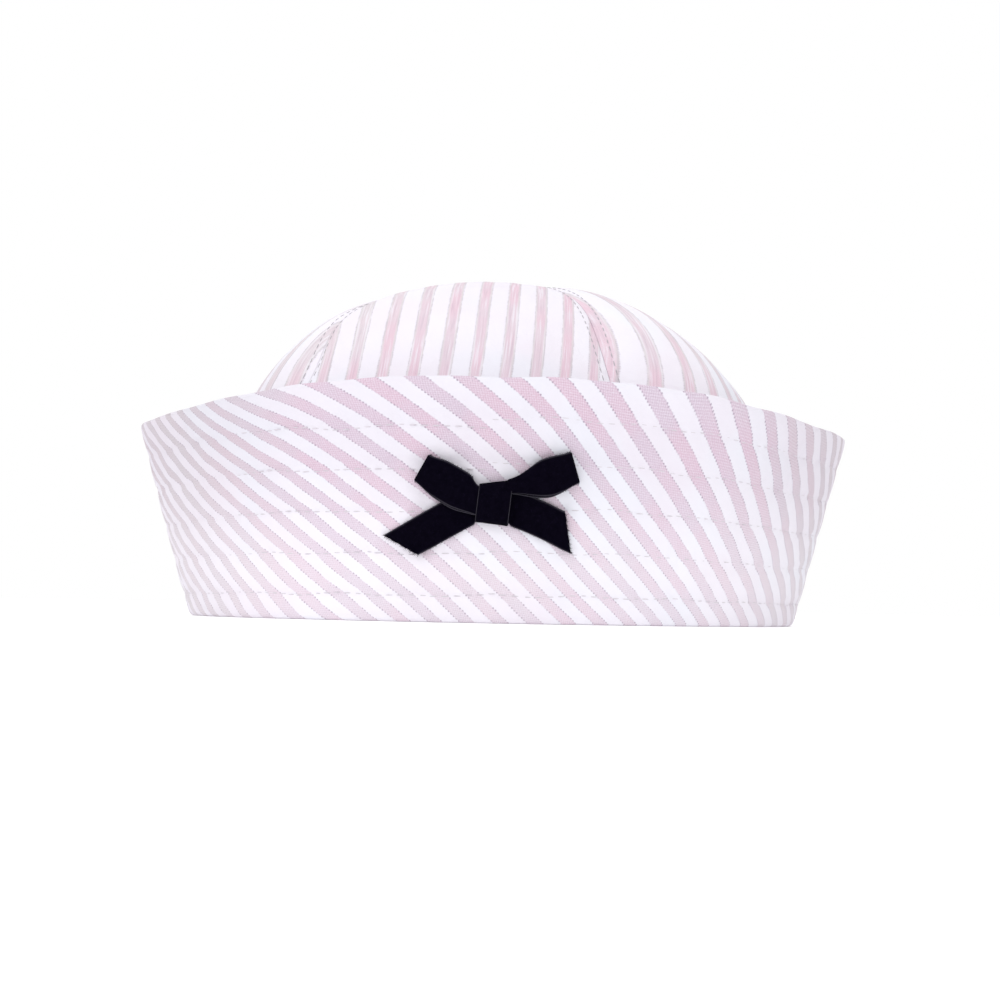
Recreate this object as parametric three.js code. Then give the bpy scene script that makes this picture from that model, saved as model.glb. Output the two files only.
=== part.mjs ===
// Sailor hat: a round crown of four gores inside a tall turned-up brim, with a ribbon bow in front.
// Millimetres. +Z is up and the front of the hat faces -Y. The origin is the middle of the rim,
// at the height of the table that the hat rests on. Left and right are as seen from the front.

import * as THREE from 'three';
import { mergeVertices } from 'three/addons/utils/BufferGeometryUtils.js';

// Driving dimensions: the turned-up brim, two layers of stitched cotton
const BRIM_BOTTOM_RADIUS = 88.6;  // outside of the brim, carried down to the table
const BRIM_TOP_RADIUS = 102.4;    // outside of the brim at its top edge
const BRIM_HEIGHT = 54;           // from the table to the top edge, at the sides and back
const BRIM_FRONT_RISE = 1.5;      // how much taller the brim stands in front
const BRIM_THICKNESS = 2;
const RIM_INSIDE_RADIUS = 83.7;   // inside of the fold, where the head goes in
const RIM_INSIDE_HEIGHT = 4;      // how far the fold comes up inside
const RIM_INSIDE_THICKNESS = 1.6;
const RIM_ROUNDING = 0.7;         // how much the fold is rounded beside the part that rests

// Driving dimensions: the crown, one layer of cotton
const CROWN_RADIUS = 83.2;        // outside of the crown where its wall turns into the dome
const CROWN_HEIGHT = 97.4;        // from the table to the top of the dome
const CROWN_WALL_TOP = 18;        // the crown's wall is nearly upright below this height
const CROWN_WALL_FLARE = 1.4;     // how much wider the wall is at its foot
const CROWN_SIDE_FULLNESS = 2.43; // 2 makes the dome's profile an ellipse, more makes it squarer
const CROWN_TOP_FULLNESS = 2.29;
const CROWN_LEAN = 2.7;           // how far the top of the dome leans to the left
const CROWN_THICKNESS = 1.2;
const GORE_COUNT = 4;
const FRONT_GORE_AZIMUTH = -15.5; // degrees from the front to the middle of the front gore
const SEAM_DEPTH = 0.9;           // how far the cloth is drawn in along each seam
const SEAM_REACH = 5;             // how far from the seam the cloth is drawn in

// Driving dimensions: the plain band inside, and the bow of velvet ribbon
const BAND_THICKNESS = 1;
const BAND_TOP = 26;
const BAND_LEAN = 0.8;            // how much narrower the band is at its top edge
const RIBBON_WIDTH = 8.4;
const RIBBON_THICKNESS = 1.1;
const KNOT_WIDTH = 9.4;
const KNOT_HEIGHT = 11.7;
const KNOT_DEPTH = 5.6;
const KNOT_MIDDLE = 25.5;         // height of the bow's knot above the table
const TAIL_CUT_SLANT = 5.7;       // how much longer one edge of a tail is than the other
const LOOP_END_RADIUS = 1.15;     // the turn at a loop's far end, to the middle of the ribbon
const LOOP_FRONT_LIFT = 4.6;      // height of a loop's front layer off the brim, beside the knot
const LOOP_BACK_LIFT = 2.3;       // and of its back layer, which passes over a tail there
const LOOP_END_CLEARANCE = 0.5;   // space under a loop's far end
const GATHERED_SHARE = 0.45;      // share of a ribbon's length over which its gathers open out

const GAP = 0.3;                  // clear space between neighbouring pieces
const HALF_TURN = Math.PI;

// How finely each kind of piece is divided
const BRIM_SEGMENTS = 72;
const GORE_COLUMNS = 14;
const GORE_ROWS = 17;
const LOOP_COLUMNS = 26;
const LOOP_ROWS = 3;
const TAIL_COLUMNS = 8;
const TAIL_ROWS = 4;
const KNOT_COLUMNS = 8;
const KNOT_ROWS = 10;
const DOME_TIP_RADIUS = 0.6;      // the gores stop this far from the very top

const radians = THREE.MathUtils.degToRad;
const mix = THREE.MathUtils.lerp;

const stripedCotton = new THREE.MeshStandardMaterial({ color: 0xf1e3eb, roughness: 0.85, metalness: 0 });
const plainTwill = new THREE.MeshStandardMaterial({ color: 0xd9ccd6, roughness: 0.85, metalness: 0 });
const blackVelvet = new THREE.MeshStandardMaterial({ color: 0x08070f, roughness: 0.95, metalness: 0 });

// A point round the hat's axis. Azimuth 0 is the front, and a positive azimuth goes to the right.
function pointAround(radius, azimuth, height) {
  return new THREE.Vector3(radius * Math.sin(azimuth), -radius * Math.cos(azimuth), height);
}

// Outside radius of the brim's slanted wall at a height
function brimRadius(height) {
  return mix(BRIM_BOTTOM_RADIUS, BRIM_TOP_RADIUS, height / BRIM_HEIGHT);
}

// A closed sheet of cloth. face and back give a point for u, from left to right, and v, upwards,
// seen from outside. The two grids are joined all round their border.
function clothSheet(face, back, columns, rows) {
  const positions = [];
  for (const side of [face, back]) {
    for (let row = 0; row <= rows; row += 1) {
      for (let column = 0; column <= columns; column += 1) {
        positions.push(...side(column / columns, row / rows).toArray());
      }
    }
  }

  const triangles = [];
  const quad = (a, b, c, d) => triangles.push(a, b, c, a, c, d);
  const at = (column, row) => row * (columns + 1) + column;
  const backStart = (columns + 1) * (rows + 1);
  for (let row = 0; row < rows; row += 1) {
    for (let column = 0; column < columns; column += 1) {
      const corners = [at(column, row), at(column + 1, row), at(column + 1, row + 1), at(column, row + 1)];
      quad(...corners);
      quad(...corners.map((corner) => corner + backStart).reverse());
    }
  }

  const border = [];
  for (let column = 0; column < columns; column += 1) border.push(at(column, 0));
  for (let row = 0; row < rows; row += 1) border.push(at(columns, row));
  for (let column = columns; column > 0; column -= 1) border.push(at(column, rows));
  for (let row = rows; row > 0; row -= 1) border.push(at(0, row));
  border.forEach((point, index) => {
    const next = border[(index + 1) % border.length];
    quad(next, point, point + backStart, next + backStart);
  });

  const geometry = new THREE.BufferGeometry();
  geometry.setAttribute('position', new THREE.Float32BufferAttribute(positions, 3));
  geometry.setIndex(triangles);
  return geometry;
}

// A closed ring round the hat's axis, from a closed profile of [radius, height] rows. The profile
// goes up its outer side and down its inner side.
function clothRing(profile) {
  const closed = [...profile, profile[0]].map(([radius, height]) => new THREE.Vector2(radius, height));
  const geometry = new THREE.LatheGeometry(closed, BRIM_SEGMENTS);
  geometry.rotateX(HALF_TURN / 2);
  geometry.deleteAttribute('normal');
  geometry.deleteAttribute('uv');
  return mergeVertices(geometry, 0.001);
}

// The brim: flat where it rests, a slanted wall, a folded top edge, and a low fold inside
function brimGeometry() {
  const foldRadius = BRIM_THICKNESS / 2;
  const wallHeights = [1.8, 10, 20, 31, 42, BRIM_HEIGHT - foldRadius];
  const outside = wallHeights.map((height) => [brimRadius(height), height]);
  const inside = wallHeights.slice(1).reverse()
    .map((height) => [brimRadius(height) - BRIM_THICKNESS, height]);

  const topEdge = [];
  for (const angle of [45, 90, 135].map(radians)) {
    const middle = brimRadius(BRIM_HEIGHT - foldRadius) - foldRadius;
    topEdge.push([middle + foldRadius * Math.cos(angle), BRIM_HEIGHT + foldRadius * (Math.sin(angle) - 1)]);
  }

  const grooveFloor = BRIM_THICKNESS + RIM_ROUNDING;
  const grooveOutside = grooveFloor + RIM_ROUNDING;
  const foldInside = RIM_INSIDE_RADIUS + RIM_ROUNDING / 3;
  const geometry = clothRing([
    [BRIM_BOTTOM_RADIUS - RIM_ROUNDING, 0],
    [brimRadius(RIM_ROUNDING), RIM_ROUNDING],
    ...outside,
    ...topEdge,
    ...inside,
    [brimRadius(grooveOutside) - BRIM_THICKNESS, grooveOutside],
    [RIM_INSIDE_RADIUS + RIM_INSIDE_THICKNESS + RIM_ROUNDING, grooveFloor],
    [RIM_INSIDE_RADIUS + RIM_INSIDE_THICKNESS, RIM_INSIDE_HEIGHT],
    [foldInside, RIM_INSIDE_HEIGHT],
    [RIM_INSIDE_RADIUS, 2 * RIM_ROUNDING],
    [foldInside, RIM_ROUNDING / 2],
    [RIM_INSIDE_RADIUS + 2 * RIM_ROUNDING, 0],
  ]);

  const position = geometry.getAttribute('position');
  for (let index = 0; index < position.count; index += 1) {
    const azimuth = Math.atan2(position.getX(index), -position.getY(index));
    const frontShare = ((1 + Math.cos(azimuth)) / 2) ** 2;
    const stretch = 1 + frontShare * BRIM_FRONT_RISE / BRIM_HEIGHT;
    position.setZ(index, position.getZ(index) * stretch);
  }
  return geometry;
}

// The crown and the band inside it stand this high, just above the fold of the brim
const CROWN_FOOT = RIM_INSIDE_HEIGHT + 2 * GAP;

// The crown's outside profile, as radius and height, for t from 0 at its foot to 1 at its top
function crownProfile(t) {
  const wallShare = 2 / GORE_ROWS;
  if (t < wallShare) {
    const height = mix(CROWN_FOOT, CROWN_WALL_TOP, t / wallShare);
    const flare = CROWN_WALL_FLARE * (CROWN_WALL_TOP - height) / (CROWN_WALL_TOP - CROWN_FOOT);
    return new THREE.Vector2(CROWN_RADIUS + flare, height);
  }
  const tipAngle = Math.acos((DOME_TIP_RADIUS / CROWN_RADIUS) ** (CROWN_SIDE_FULLNESS / 2));
  const angle = tipAngle * (t - wallShare) / (1 - wallShare);
  const domeHeight = CROWN_HEIGHT - CROWN_WALL_TOP;
  return new THREE.Vector2(
    CROWN_RADIUS * Math.cos(angle) ** (2 / CROWN_SIDE_FULLNESS),
    CROWN_WALL_TOP + domeHeight * Math.sin(angle) ** (2 / CROWN_TOP_FULLNESS),
  );
}

// The direction out of the crown's profile at t
function crownProfileNormal(t) {
  const step = 0.01;
  const along = crownProfile(Math.min(1, t + step)).sub(crownProfile(Math.max(0, t - step)));
  return new THREE.Vector2(along.y, -along.x).normalize();
}

// A point of one gore, depth below its outside. The cloth is drawn in along both of its seams.
function gorePoint(middleAzimuth, u, t, depth) {
  const profile = crownProfile(t);
  const halfWidth = HALF_TURN / GORE_COUNT - Math.asin(GAP / 2 / profile.x);
  const azimuth = middleAzimuth + mix(-halfWidth, halfWidth, u);
  const seamDistance = profile.x * (HALF_TURN / GORE_COUNT - Math.abs(azimuth - middleAzimuth));
  const fadeAtTop = Math.min(1, profile.x / (3 * SEAM_REACH));
  const drawnIn = SEAM_DEPTH * fadeAtTop * Math.exp(-((seamDistance / SEAM_REACH) ** 2));

  const normal = crownProfileNormal(t);
  const radius = Math.max(DOME_TIP_RADIUS / 2, profile.x - normal.x * (drawnIn + depth));
  const height = profile.y - normal.y * (drawnIn + depth);
  const point = pointAround(radius, azimuth, height);
  const rise = Math.max(0, (profile.y - CROWN_WALL_TOP) / (CROWN_HEIGHT - CROWN_WALL_TOP));
  point.x -= CROWN_LEAN * rise ** 3;
  return point;
}

function goreGeometry(middleAzimuth) {
  return clothSheet(
    (u, v) => gorePoint(middleAzimuth, u, v, 0),
    (u, v) => gorePoint(middleAzimuth, u, v, CROWN_THICKNESS),
    GORE_COLUMNS,
    GORE_ROWS,
  );
}

// The plain band lies against the inside of the crown, above the fold of the brim
function sweatbandGeometry() {
  const footOutside = CROWN_RADIUS - CROWN_THICKNESS - SEAM_DEPTH;
  const topOutside = footOutside - BAND_LEAN;
  const middle = (CROWN_FOOT + BAND_TOP) / 2;
  const middleOutside = footOutside - BAND_LEAN / 2;
  const rounding = BAND_THICKNESS / 4;
  return clothRing([
    [footOutside - BAND_THICKNESS / 2, CROWN_FOOT],
    [footOutside, CROWN_FOOT + rounding],
    [middleOutside, middle],
    [topOutside, BAND_TOP - rounding],
    [topOutside - BAND_THICKNESS / 2, BAND_TOP],
    [topOutside - BAND_THICKNESS, BAND_TOP - rounding],
    [middleOutside - BAND_THICKNESS, middle],
    [footOutside - BAND_THICKNESS, CROWN_FOOT + rounding],
  ]);
}

// A point of the bow: across the front of the brim, up from the table, and out from the cloth
function pointOnBrim(across, height, lift) {
  const radius = brimRadius(height) + lift;
  return pointAround(radius, across / brimRadius(height), height);
}

// Ribbon pieces run from start, beside the knot, to end, both [across, height].
// startWidth is the ribbon's width where it is gathered beside the knot.
const LOOPS = [
  { name: 'bow_loop_left', start: [-5.05, 25.9], end: [-18.2, 33.2], startWidth: 6.6 },
  { name: 'bow_loop_right', start: [5.05, 27.6], end: [19.9, 33.9], startWidth: 5.2 },
];
const TAILS = [
  { name: 'bow_tail_left', start: [-5.05, 22.6], end: [-22.2, 14.5], startWidth: 5.4 },
  { name: 'bow_tail_right', start: [5.05, 23.4], end: [18.0, 18.2], startWidth: 6.8 },
];

// Turns a distance along a ribbon, a share of its width and a lift into a point of the bow
function ribbonPoint({ start, end, startWidth }, distance, share, lift) {
  const from = new THREE.Vector2(...start);
  const along = new THREE.Vector2(...end).sub(from);
  const length = along.length();
  along.normalize();
  const gatheredLength = length * GATHERED_SHARE;
  const opened = THREE.MathUtils.smoothstep(distance, 0, gatheredLength);
  const besideKnot = new THREE.Vector2(0, Math.sign(along.x));
  const across = new THREE.Vector2(-along.y, along.x).lerp(besideKnot, 1 - opened);
  const width = mix(startWidth, RIBBON_WIDTH, opened);
  const place = from.addScaledVector(along, distance).addScaledVector(across, width * share);
  return pointOnBrim(place.x, place.y, lift);
}

// A loop of ribbon seen from its edge: out along the front layer, round the end, back underneath
function loopPath(length, u) {
  const endLift = LOOP_END_CLEARANCE + GAP + RIBBON_THICKNESS / 2 + LOOP_END_RADIUS;
  const straight = length - LOOP_END_RADIUS;
  const layerShare = 0.38;
  if (u < layerShare) {
    const t = u / layerShare;
    return new THREE.Vector2(straight * t, mix(LOOP_FRONT_LIFT, endLift + LOOP_END_RADIUS, t * t));
  }
  if (u > 1 - layerShare) {
    const t = (1 - u) / layerShare;
    return new THREE.Vector2(straight * t, mix(LOOP_BACK_LIFT, endLift - LOOP_END_RADIUS, t * t));
  }
  const angle = HALF_TURN * (0.5 - (u - layerShare) / (1 - 2 * layerShare));
  const turn = new THREE.Vector2(Math.cos(angle), Math.sin(angle)).multiplyScalar(LOOP_END_RADIUS);
  return turn.add(new THREE.Vector2(straight, endLift));
}

function loopGeometry(loop) {
  const length = new THREE.Vector2(...loop.start).distanceTo(new THREE.Vector2(...loop.end));
  const surface = (side) => (u, v) => {
    const step = 0.004;
    const path = loopPath(length, u);
    const tangent = loopPath(length, Math.min(1, u + step)).sub(loopPath(length, Math.max(0, u - step)));
    const outwards = new THREE.Vector2(-tangent.y, tangent.x).normalize();
    path.addScaledVector(outwards, side * RIBBON_THICKNESS / 2);
    return ribbonPoint(loop, Math.max(0, path.x), v - 0.5, path.y);
  };
  return clothSheet(surface(1), surface(-1), LOOP_COLUMNS, LOOP_ROWS);
}

// A tail lies on the brim and is cut off on a slant
function tailGeometry(tail) {
  const length = new THREE.Vector2(...tail.start).distanceTo(new THREE.Vector2(...tail.end));
  const surface = (lift) => (u, v) => {
    const slanted = length - TAIL_CUT_SLANT * (v - 0.5);
    return ribbonPoint(tail, slanted * u, v - 0.5, lift);
  };
  return clothSheet(surface(GAP + RIBBON_THICKNESS), surface(GAP), TAIL_COLUMNS, TAIL_ROWS);
}

// The knot: ribbon drawn tight round the middle of the bow, fullest in front
function knotGeometry() {
  const endNarrowing = 0.14;
  const endDrop = 0.42;
  const sideDrop = 0.06;
  const surface = (depth) => (u, v) => {
    const up = 2 * v - 1;
    const right = 2 * u - 1;
    const halfWidth = KNOT_WIDTH / 2 * (1 - endNarrowing * up ** 4);
    const fullness = (1 - endDrop * Math.abs(up) ** 3) * (1 - sideDrop * right ** 2);
    return pointOnBrim(right * halfWidth, KNOT_MIDDLE + up * KNOT_HEIGHT / 2, GAP + depth * fullness);
  };
  return clothSheet(surface(KNOT_DEPTH), surface(0), KNOT_COLUMNS, KNOT_ROWS);
}

const hat = new THREE.Group();

function addPiece(name, geometry, material) {
  geometry.computeVertexNormals();
  const piece = new THREE.Mesh(geometry, material);
  piece.name = name;
  hat.add(piece);
}

addPiece('brim', brimGeometry(), stripedCotton);
['crown_front', 'crown_right', 'crown_back', 'crown_left'].forEach((name, index) => {
  const middleAzimuth = radians(FRONT_GORE_AZIMUTH + index * 360 / GORE_COUNT);
  addPiece(name, goreGeometry(middleAzimuth), stripedCotton);
});
addPiece('sweatband', sweatbandGeometry(), plainTwill);
LOOPS.forEach((loop) => addPiece(loop.name, loopGeometry(loop), blackVelvet));
TAILS.forEach((tail) => addPiece(tail.name, tailGeometry(tail), blackVelvet));
addPiece('bow_knot', knotGeometry(), blackVelvet);

export default hat;
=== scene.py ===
# %% [markdown]
# Sailor hat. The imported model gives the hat's fixed frame: a brim, four crown gores, a band inside
# and the five pieces of a ribbon bow. This lesson dresses each of them in cloth.
# The frame is loaded first, and its box is kept, because the cloth may not outgrow it.

# %% Load the frame
import math
import random
from functools import partial

import bpy
import numpy as np
from mathutils import Matrix, Quaternion, Vector


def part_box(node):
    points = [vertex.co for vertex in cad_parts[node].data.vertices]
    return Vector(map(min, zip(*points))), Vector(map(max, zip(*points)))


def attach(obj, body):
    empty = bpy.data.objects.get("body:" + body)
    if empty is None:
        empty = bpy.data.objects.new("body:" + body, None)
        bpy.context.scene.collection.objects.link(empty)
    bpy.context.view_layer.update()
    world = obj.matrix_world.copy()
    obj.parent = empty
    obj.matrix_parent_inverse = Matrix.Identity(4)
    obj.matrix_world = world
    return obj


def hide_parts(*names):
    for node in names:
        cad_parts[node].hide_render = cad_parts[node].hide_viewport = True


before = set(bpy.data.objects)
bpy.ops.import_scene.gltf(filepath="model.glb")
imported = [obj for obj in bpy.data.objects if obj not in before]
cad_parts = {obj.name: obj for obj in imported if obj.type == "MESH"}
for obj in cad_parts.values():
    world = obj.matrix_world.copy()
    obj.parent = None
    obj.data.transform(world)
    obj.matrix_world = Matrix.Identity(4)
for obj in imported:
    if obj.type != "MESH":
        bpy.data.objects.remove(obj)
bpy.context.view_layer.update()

MM = 0.001
SEED = 11
print("frame nodes:", sorted(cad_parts))

# %% [markdown]
# Blender's operators act on whatever is selected, and a freshly loaded model is selected all over.
# So one helper clears the selection, and one turns a new primitive into a named piece whose object
# sits at the origin. The cloth is shaped from grids: a grid gives u across and v up, a function
# says where each of its points lies on the hat, and the same u and v give the cloth its UV map.

# %% Helpers for new pieces
def clear_selection():
    if bpy.context.object and bpy.context.object.mode != "OBJECT":
        bpy.ops.object.mode_set(mode="OBJECT")
    bpy.ops.object.select_all(action="DESELECT")


def name_piece(name):
    piece = bpy.context.object
    bpy.ops.object.transform_apply(location=True, rotation=True, scale=True)
    piece.name = name
    piece.data.name = name
    return piece


def get_points(piece):
    points = np.empty(len(piece.data.vertices) * 3)
    piece.data.vertices.foreach_get("co", points)
    return points.reshape(-1, 3)


def set_points(piece, points):
    piece.data.vertices.foreach_set("co", np.ascontiguousarray(points, dtype=np.float32).ravel())
    piece.data.update()


def corner_points(piece):
    corners = np.empty(len(piece.data.loops), dtype=np.int64)
    piece.data.loops.foreach_get("vertex_index", corners)
    return corners


def set_cloth_uv(piece, uv):
    layer = piece.data.uv_layers.get("cloth") or piece.data.uv_layers.new(name="cloth")
    layer.data.foreach_set("uv", np.ascontiguousarray(uv, dtype=np.float32).ravel())


def add_cloth_grid(name, columns, rows):
    """A flat grid with u and v from 0 to 1, ready to be shaped."""
    clear_selection()
    bpy.ops.mesh.primitive_grid_add(x_subdivisions=columns, y_subdivisions=rows, size=1)
    piece = name_piece(name)
    flat = get_points(piece) + 0.5
    return piece, flat[:, 0], flat[:, 1]


# %% Helpers that finish a piece
def apply_modifier(piece, kind, **settings):
    clear_selection()
    bpy.context.view_layer.objects.active = piece
    piece.select_set(True)
    modifier = piece.modifiers.new(kind.title(), kind)
    for key, value in settings.items():
        setattr(modifier, key, value)
    bpy.ops.object.modifier_apply(modifier=modifier.name)


def smooth_piece(piece, angle=60):
    clear_selection()
    bpy.context.view_layer.objects.active = piece
    piece.select_set(True)
    bpy.ops.object.shade_smooth_by_angle(angle=math.radians(angle))


def finish_piece(piece, material, slot, *replaced):
    piece.data.materials.clear()
    piece.data.materials.append(material)
    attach(piece, "root")
    if replaced:
        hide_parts(*replaced)
    triangles = sum(len(face.vertices) - 2 for face in piece.data.polygons)
    print(f"{piece.name}: {triangles} triangles")


# %% [markdown]
# Real cloth is never quite even. A few sine waves of whole-number frequency make a gentle wobble
# that closes on itself all round the hat, and a seeded random source makes it the same each time.

# %% Waves for uneven cloth
chance = random.Random(SEED)


def make_waves(count, slowest, fastest, drift=0.0):
    rows = []
    for _ in range(count):
        turns = chance.randint(slowest, fastest)
        rows.append((turns, chance.uniform(-drift, drift), chance.uniform(0, math.tau)))
    return rows


def wave_height(waves, azimuth, along=0.0):
    total = sum(np.sin(turns * azimuth + slope * along + shift) for turns, slope, shift in waves)
    return total / math.sqrt(len(waves))


brim_sway = make_waves(5, 2, 7)
brim_edge_wobble = make_waves(6, 8, 30)
brim_puckers = make_waves(9, 60, 190, drift=700.0)
crown_puckers = make_waves(7, 10, 40, drift=260.0)
brim_creases = make_waves(8, 16, 60, drift=230.0)
crown_folds = make_waves(6, 2, 7, drift=55.0)
crown_creases = make_waves(9, 14, 46, drift=190.0)
print("waves made:", len(brim_puckers) + len(crown_puckers))

# %% [markdown]
# The brim is one strip of striped cotton, doubled, sewn into a ring and turned up. Its sizes come
# from the frame's brim node. Its section is drawn point by point with extrude: up the outside,
# over the folded top edge, down the inside, into the groove beside the crown and under the rim.
# Spin then sweeps the section round the hat, which keeps the ring perfectly closed.

# %% Brim sizes
_, brim_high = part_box("brim")
BRIM_TOP_RADIUS = brim_high[0] - 0.15 * MM
BRIM_HEIGHT = 54.0 * MM
BRIM_FRONT_RISE = brim_high[2] - BRIM_HEIGHT
BRIM_BOTTOM_RADIUS = BRIM_TOP_RADIUS - 13.8 * MM
BRIM_THICKNESS = 1.9 * MM
RIM_INSIDE_RADIUS = BRIM_BOTTOM_RADIUS - 4.9 * MM
RIM_INSIDE_HEIGHT = 4.0 * MM
BRIM_SLANT = math.hypot(BRIM_HEIGHT, BRIM_TOP_RADIUS - BRIM_BOTTOM_RADIUS)
BRIM_STEPS = 760
SECTION_STEP = 1.05 * MM
RIM_EDGE_RADIUS = 1.5 * MM
RIM_ROLL_RADIUS = 0.8 * MM
RIM_UNDER_RADIUS = 1.3 * MM
CROWN_GROOVE_TOP = 3.2 * MM
CROWN_GROOVE_FLOOR = 2.5 * MM
CROWN_GROOVE_REACH = 2.2 * MM
wall_lean = math.atan2(BRIM_TOP_RADIUS - BRIM_BOTTOM_RADIUS, BRIM_HEIGHT)
print("brim height mm", BRIM_HEIGHT / MM, "front rise mm", round(BRIM_FRONT_RISE / MM, 2))


def brim_radius(height):
    share = height / BRIM_HEIGHT
    return BRIM_BOTTOM_RADIUS + (BRIM_TOP_RADIUS - BRIM_BOTTOM_RADIUS) * share


def arc(middle, radius, first, last, count):
    across, up = middle
    turns = np.radians(np.linspace(first, last, count))
    return [(across + radius * math.cos(turn), up + radius * math.sin(turn)) for turn in turns]


# %% Brim section
def brim_section():
    """Rows of (radius, height), up the outside and down the inside of the doubled brim."""
    fold = BRIM_THICKNESS / 2
    lean = math.degrees(wall_lean)
    top_middle = (brim_radius(BRIM_HEIGHT - fold) - fold / math.cos(wall_lean), BRIM_HEIGHT - fold)
    rim_across = brim_radius(RIM_EDGE_RADIUS) - RIM_EDGE_RADIUS / math.cos(wall_lean)
    inside_wall = brim_radius(CROWN_GROOVE_TOP) - BRIM_THICKNESS / math.cos(wall_lean)
    roll_middle = (RIM_INSIDE_RADIUS + RIM_ROLL_RADIUS, RIM_INSIDE_HEIGHT - RIM_ROLL_RADIUS)
    under_middle = (RIM_INSIDE_RADIUS + RIM_UNDER_RADIUS, RIM_UNDER_RADIUS)
    outside = arc((rim_across, RIM_EDGE_RADIUS), RIM_EDGE_RADIUS, -90, -lean, 5)
    over_top = arc(top_middle, fold, -lean, 180 - lean, 7)
    groove = [(inside_wall, CROWN_GROOVE_TOP), (RIM_INSIDE_RADIUS + CROWN_GROOVE_REACH, CROWN_GROOVE_FLOOR)]
    roll = arc(roll_middle, RIM_ROLL_RADIUS, 60, 180, 5)
    under = arc(under_middle, RIM_UNDER_RADIUS, 180, 270, 5)
    return outside + over_top + groove + roll + under


def densify(corners, longest):
    """The same closed section with steps no longer than asked."""
    dense = []
    for here, there in zip(corners, corners[1:] + corners[:1]):
        steps = max(1, math.ceil(math.dist(here, there) / longest))
        for step in range(steps):
            share = step / steps
            dense.append(tuple(a + (b - a) * share for a, b in zip(here, there)))
    return dense


section = densify(brim_section(), SECTION_STEP)
print("brim section points:", len(section))

# %% Draw the section with extrude, then spin it
clear_selection()
bpy.ops.mesh.primitive_plane_add(size=MM, location=(0, -section[0][0], section[0][1]))
brim = name_piece("brim_cloth")
bpy.ops.object.mode_set(mode="EDIT")
bpy.ops.mesh.select_all(action="SELECT")
bpy.ops.mesh.merge(type="CENTER")
for here, there in zip(section, section[1:]):
    step = (0, here[0] - there[0], there[1] - here[1])
    bpy.ops.mesh.extrude_region_move(TRANSFORM_OT_translate={"value": step})
bpy.ops.object.mode_set(mode="OBJECT")
for section_end in (0, len(brim.data.vertices) - 1):
    brim.data.vertices[section_end].select = True
bpy.ops.object.mode_set(mode="EDIT")
bpy.ops.mesh.edge_face_add()
bpy.ops.mesh.select_all(action="SELECT")
bpy.ops.mesh.spin(steps=BRIM_STEPS, angle=math.tau, center=(0, 0, 0), axis=(0, 0, 1))
bpy.ops.mesh.select_all(action="SELECT")
bpy.ops.mesh.remove_doubles(threshold=0.02 * MM)
bpy.ops.mesh.normals_make_consistent(inside=False)
bpy.ops.object.mode_set(mode="OBJECT")
print("brim vertices:", len(brim.data.vertices), "of", len(section) * BRIM_STEPS)

# %% [markdown]
# Five rows of topstitching run round the brim, ten millimetres apart. Each row pulls the two
# layers together, so the cloth lies in a shallow groove there, puffs up between the rows and
# puckers beside the thread. The strip's two ends meet in a sewn seam at the centre of the back,
# which draws the cloth in. Operators can't give this, so the points are moved along the
# section's own outward direction by a formula of the azimuth and the distance up the wall.

# %% Grooves, puffs and puckers of the topstitched brim
FIRST_ROW_DOWN = 9.3 * MM
ROW_SPACING = 10.0 * MM
STITCH_ROWS = [BRIM_SLANT - FIRST_ROW_DOWN - ROW_SPACING * row for row in range(5)]
GROOVE_DEPTH = 0.32 * MM
GROOVE_WIDTH = 0.85 * MM
PUFF_HEIGHT = 0.22 * MM
PUCKER_HEIGHT = 0.19 * MM
PUCKER_REACH = 2.2 * MM
CREASE_HEIGHT = 0.10 * MM
BACK_SEAM_DEPTH = 0.55 * MM
BACK_SEAM_WIDTH = 1.1 * MM
BACK_SEAM_REACH = 9 * MM
BACK_SEAM_TUG = 0.22 * MM
BACK_SEAM_TUG_RATE = 9
CALM_EDGE = 2 * MM


def quilting(azimuth, up):
    """How far the brim's surface stands out or in, from the distance up its wall."""
    height = np.zeros_like(azimuth)
    phase = (up - STITCH_ROWS[0]) / ROW_SPACING * math.pi
    height += PUFF_HEIGHT * np.sin(phase) ** 2
    for row in STITCH_ROWS:
        off = up - row
        height -= GROOVE_DEPTH * np.exp(-((off / GROOVE_WIDTH) ** 2))
        beside = np.exp(-np.abs(off) / PUCKER_REACH)
        height += PUCKER_HEIGHT * beside * wave_height(brim_puckers, azimuth, up)
    height += CREASE_HEIGHT * wave_height(brim_creases, azimuth, up)
    seam_distance = np.abs(np.angle(np.exp(1j * (azimuth - math.pi)))) * BRIM_TOP_RADIUS
    height -= BACK_SEAM_DEPTH * np.exp(-((seam_distance / BACK_SEAM_WIDTH) ** 2))
    tugs = wave_height(crown_puckers, up * BACK_SEAM_TUG_RATE, up)
    height += BACK_SEAM_TUG * tugs * np.exp(-((seam_distance / BACK_SEAM_REACH) ** 2))
    return height * np.clip(up / CALM_EDGE, 0, 1) * np.clip((BRIM_SLANT - up) / CALM_EDGE, 0, 1)


# %% Soft folds at the sides, and the climb of the front
SWAY_AT_TOP = 0.3 * MM
EDGE_WOBBLE = 0.16 * MM
SIDE_FOLDS = [(math.radians(-76), 2.5 * MM), (math.radians(76), 1.2 * MM)]
FOLD_REACH_FRONT = math.radians(20)
FOLD_REACH_BACK = math.radians(16)
FOLD_ROUNDING = math.radians(4)
FRONT_PEAK = 2.5 * MM
FRONT_PEAK_PLACE = math.radians(-2)
FRONT_PEAK_REACH_LEFT = math.radians(31)
FRONT_PEAK_REACH_RIGHT = math.radians(37)
SHOULDER_DROP = 1.6 * MM
SHOULDER_PLACE = math.radians(60)
SHOULDER_REACH = math.radians(16)


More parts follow.
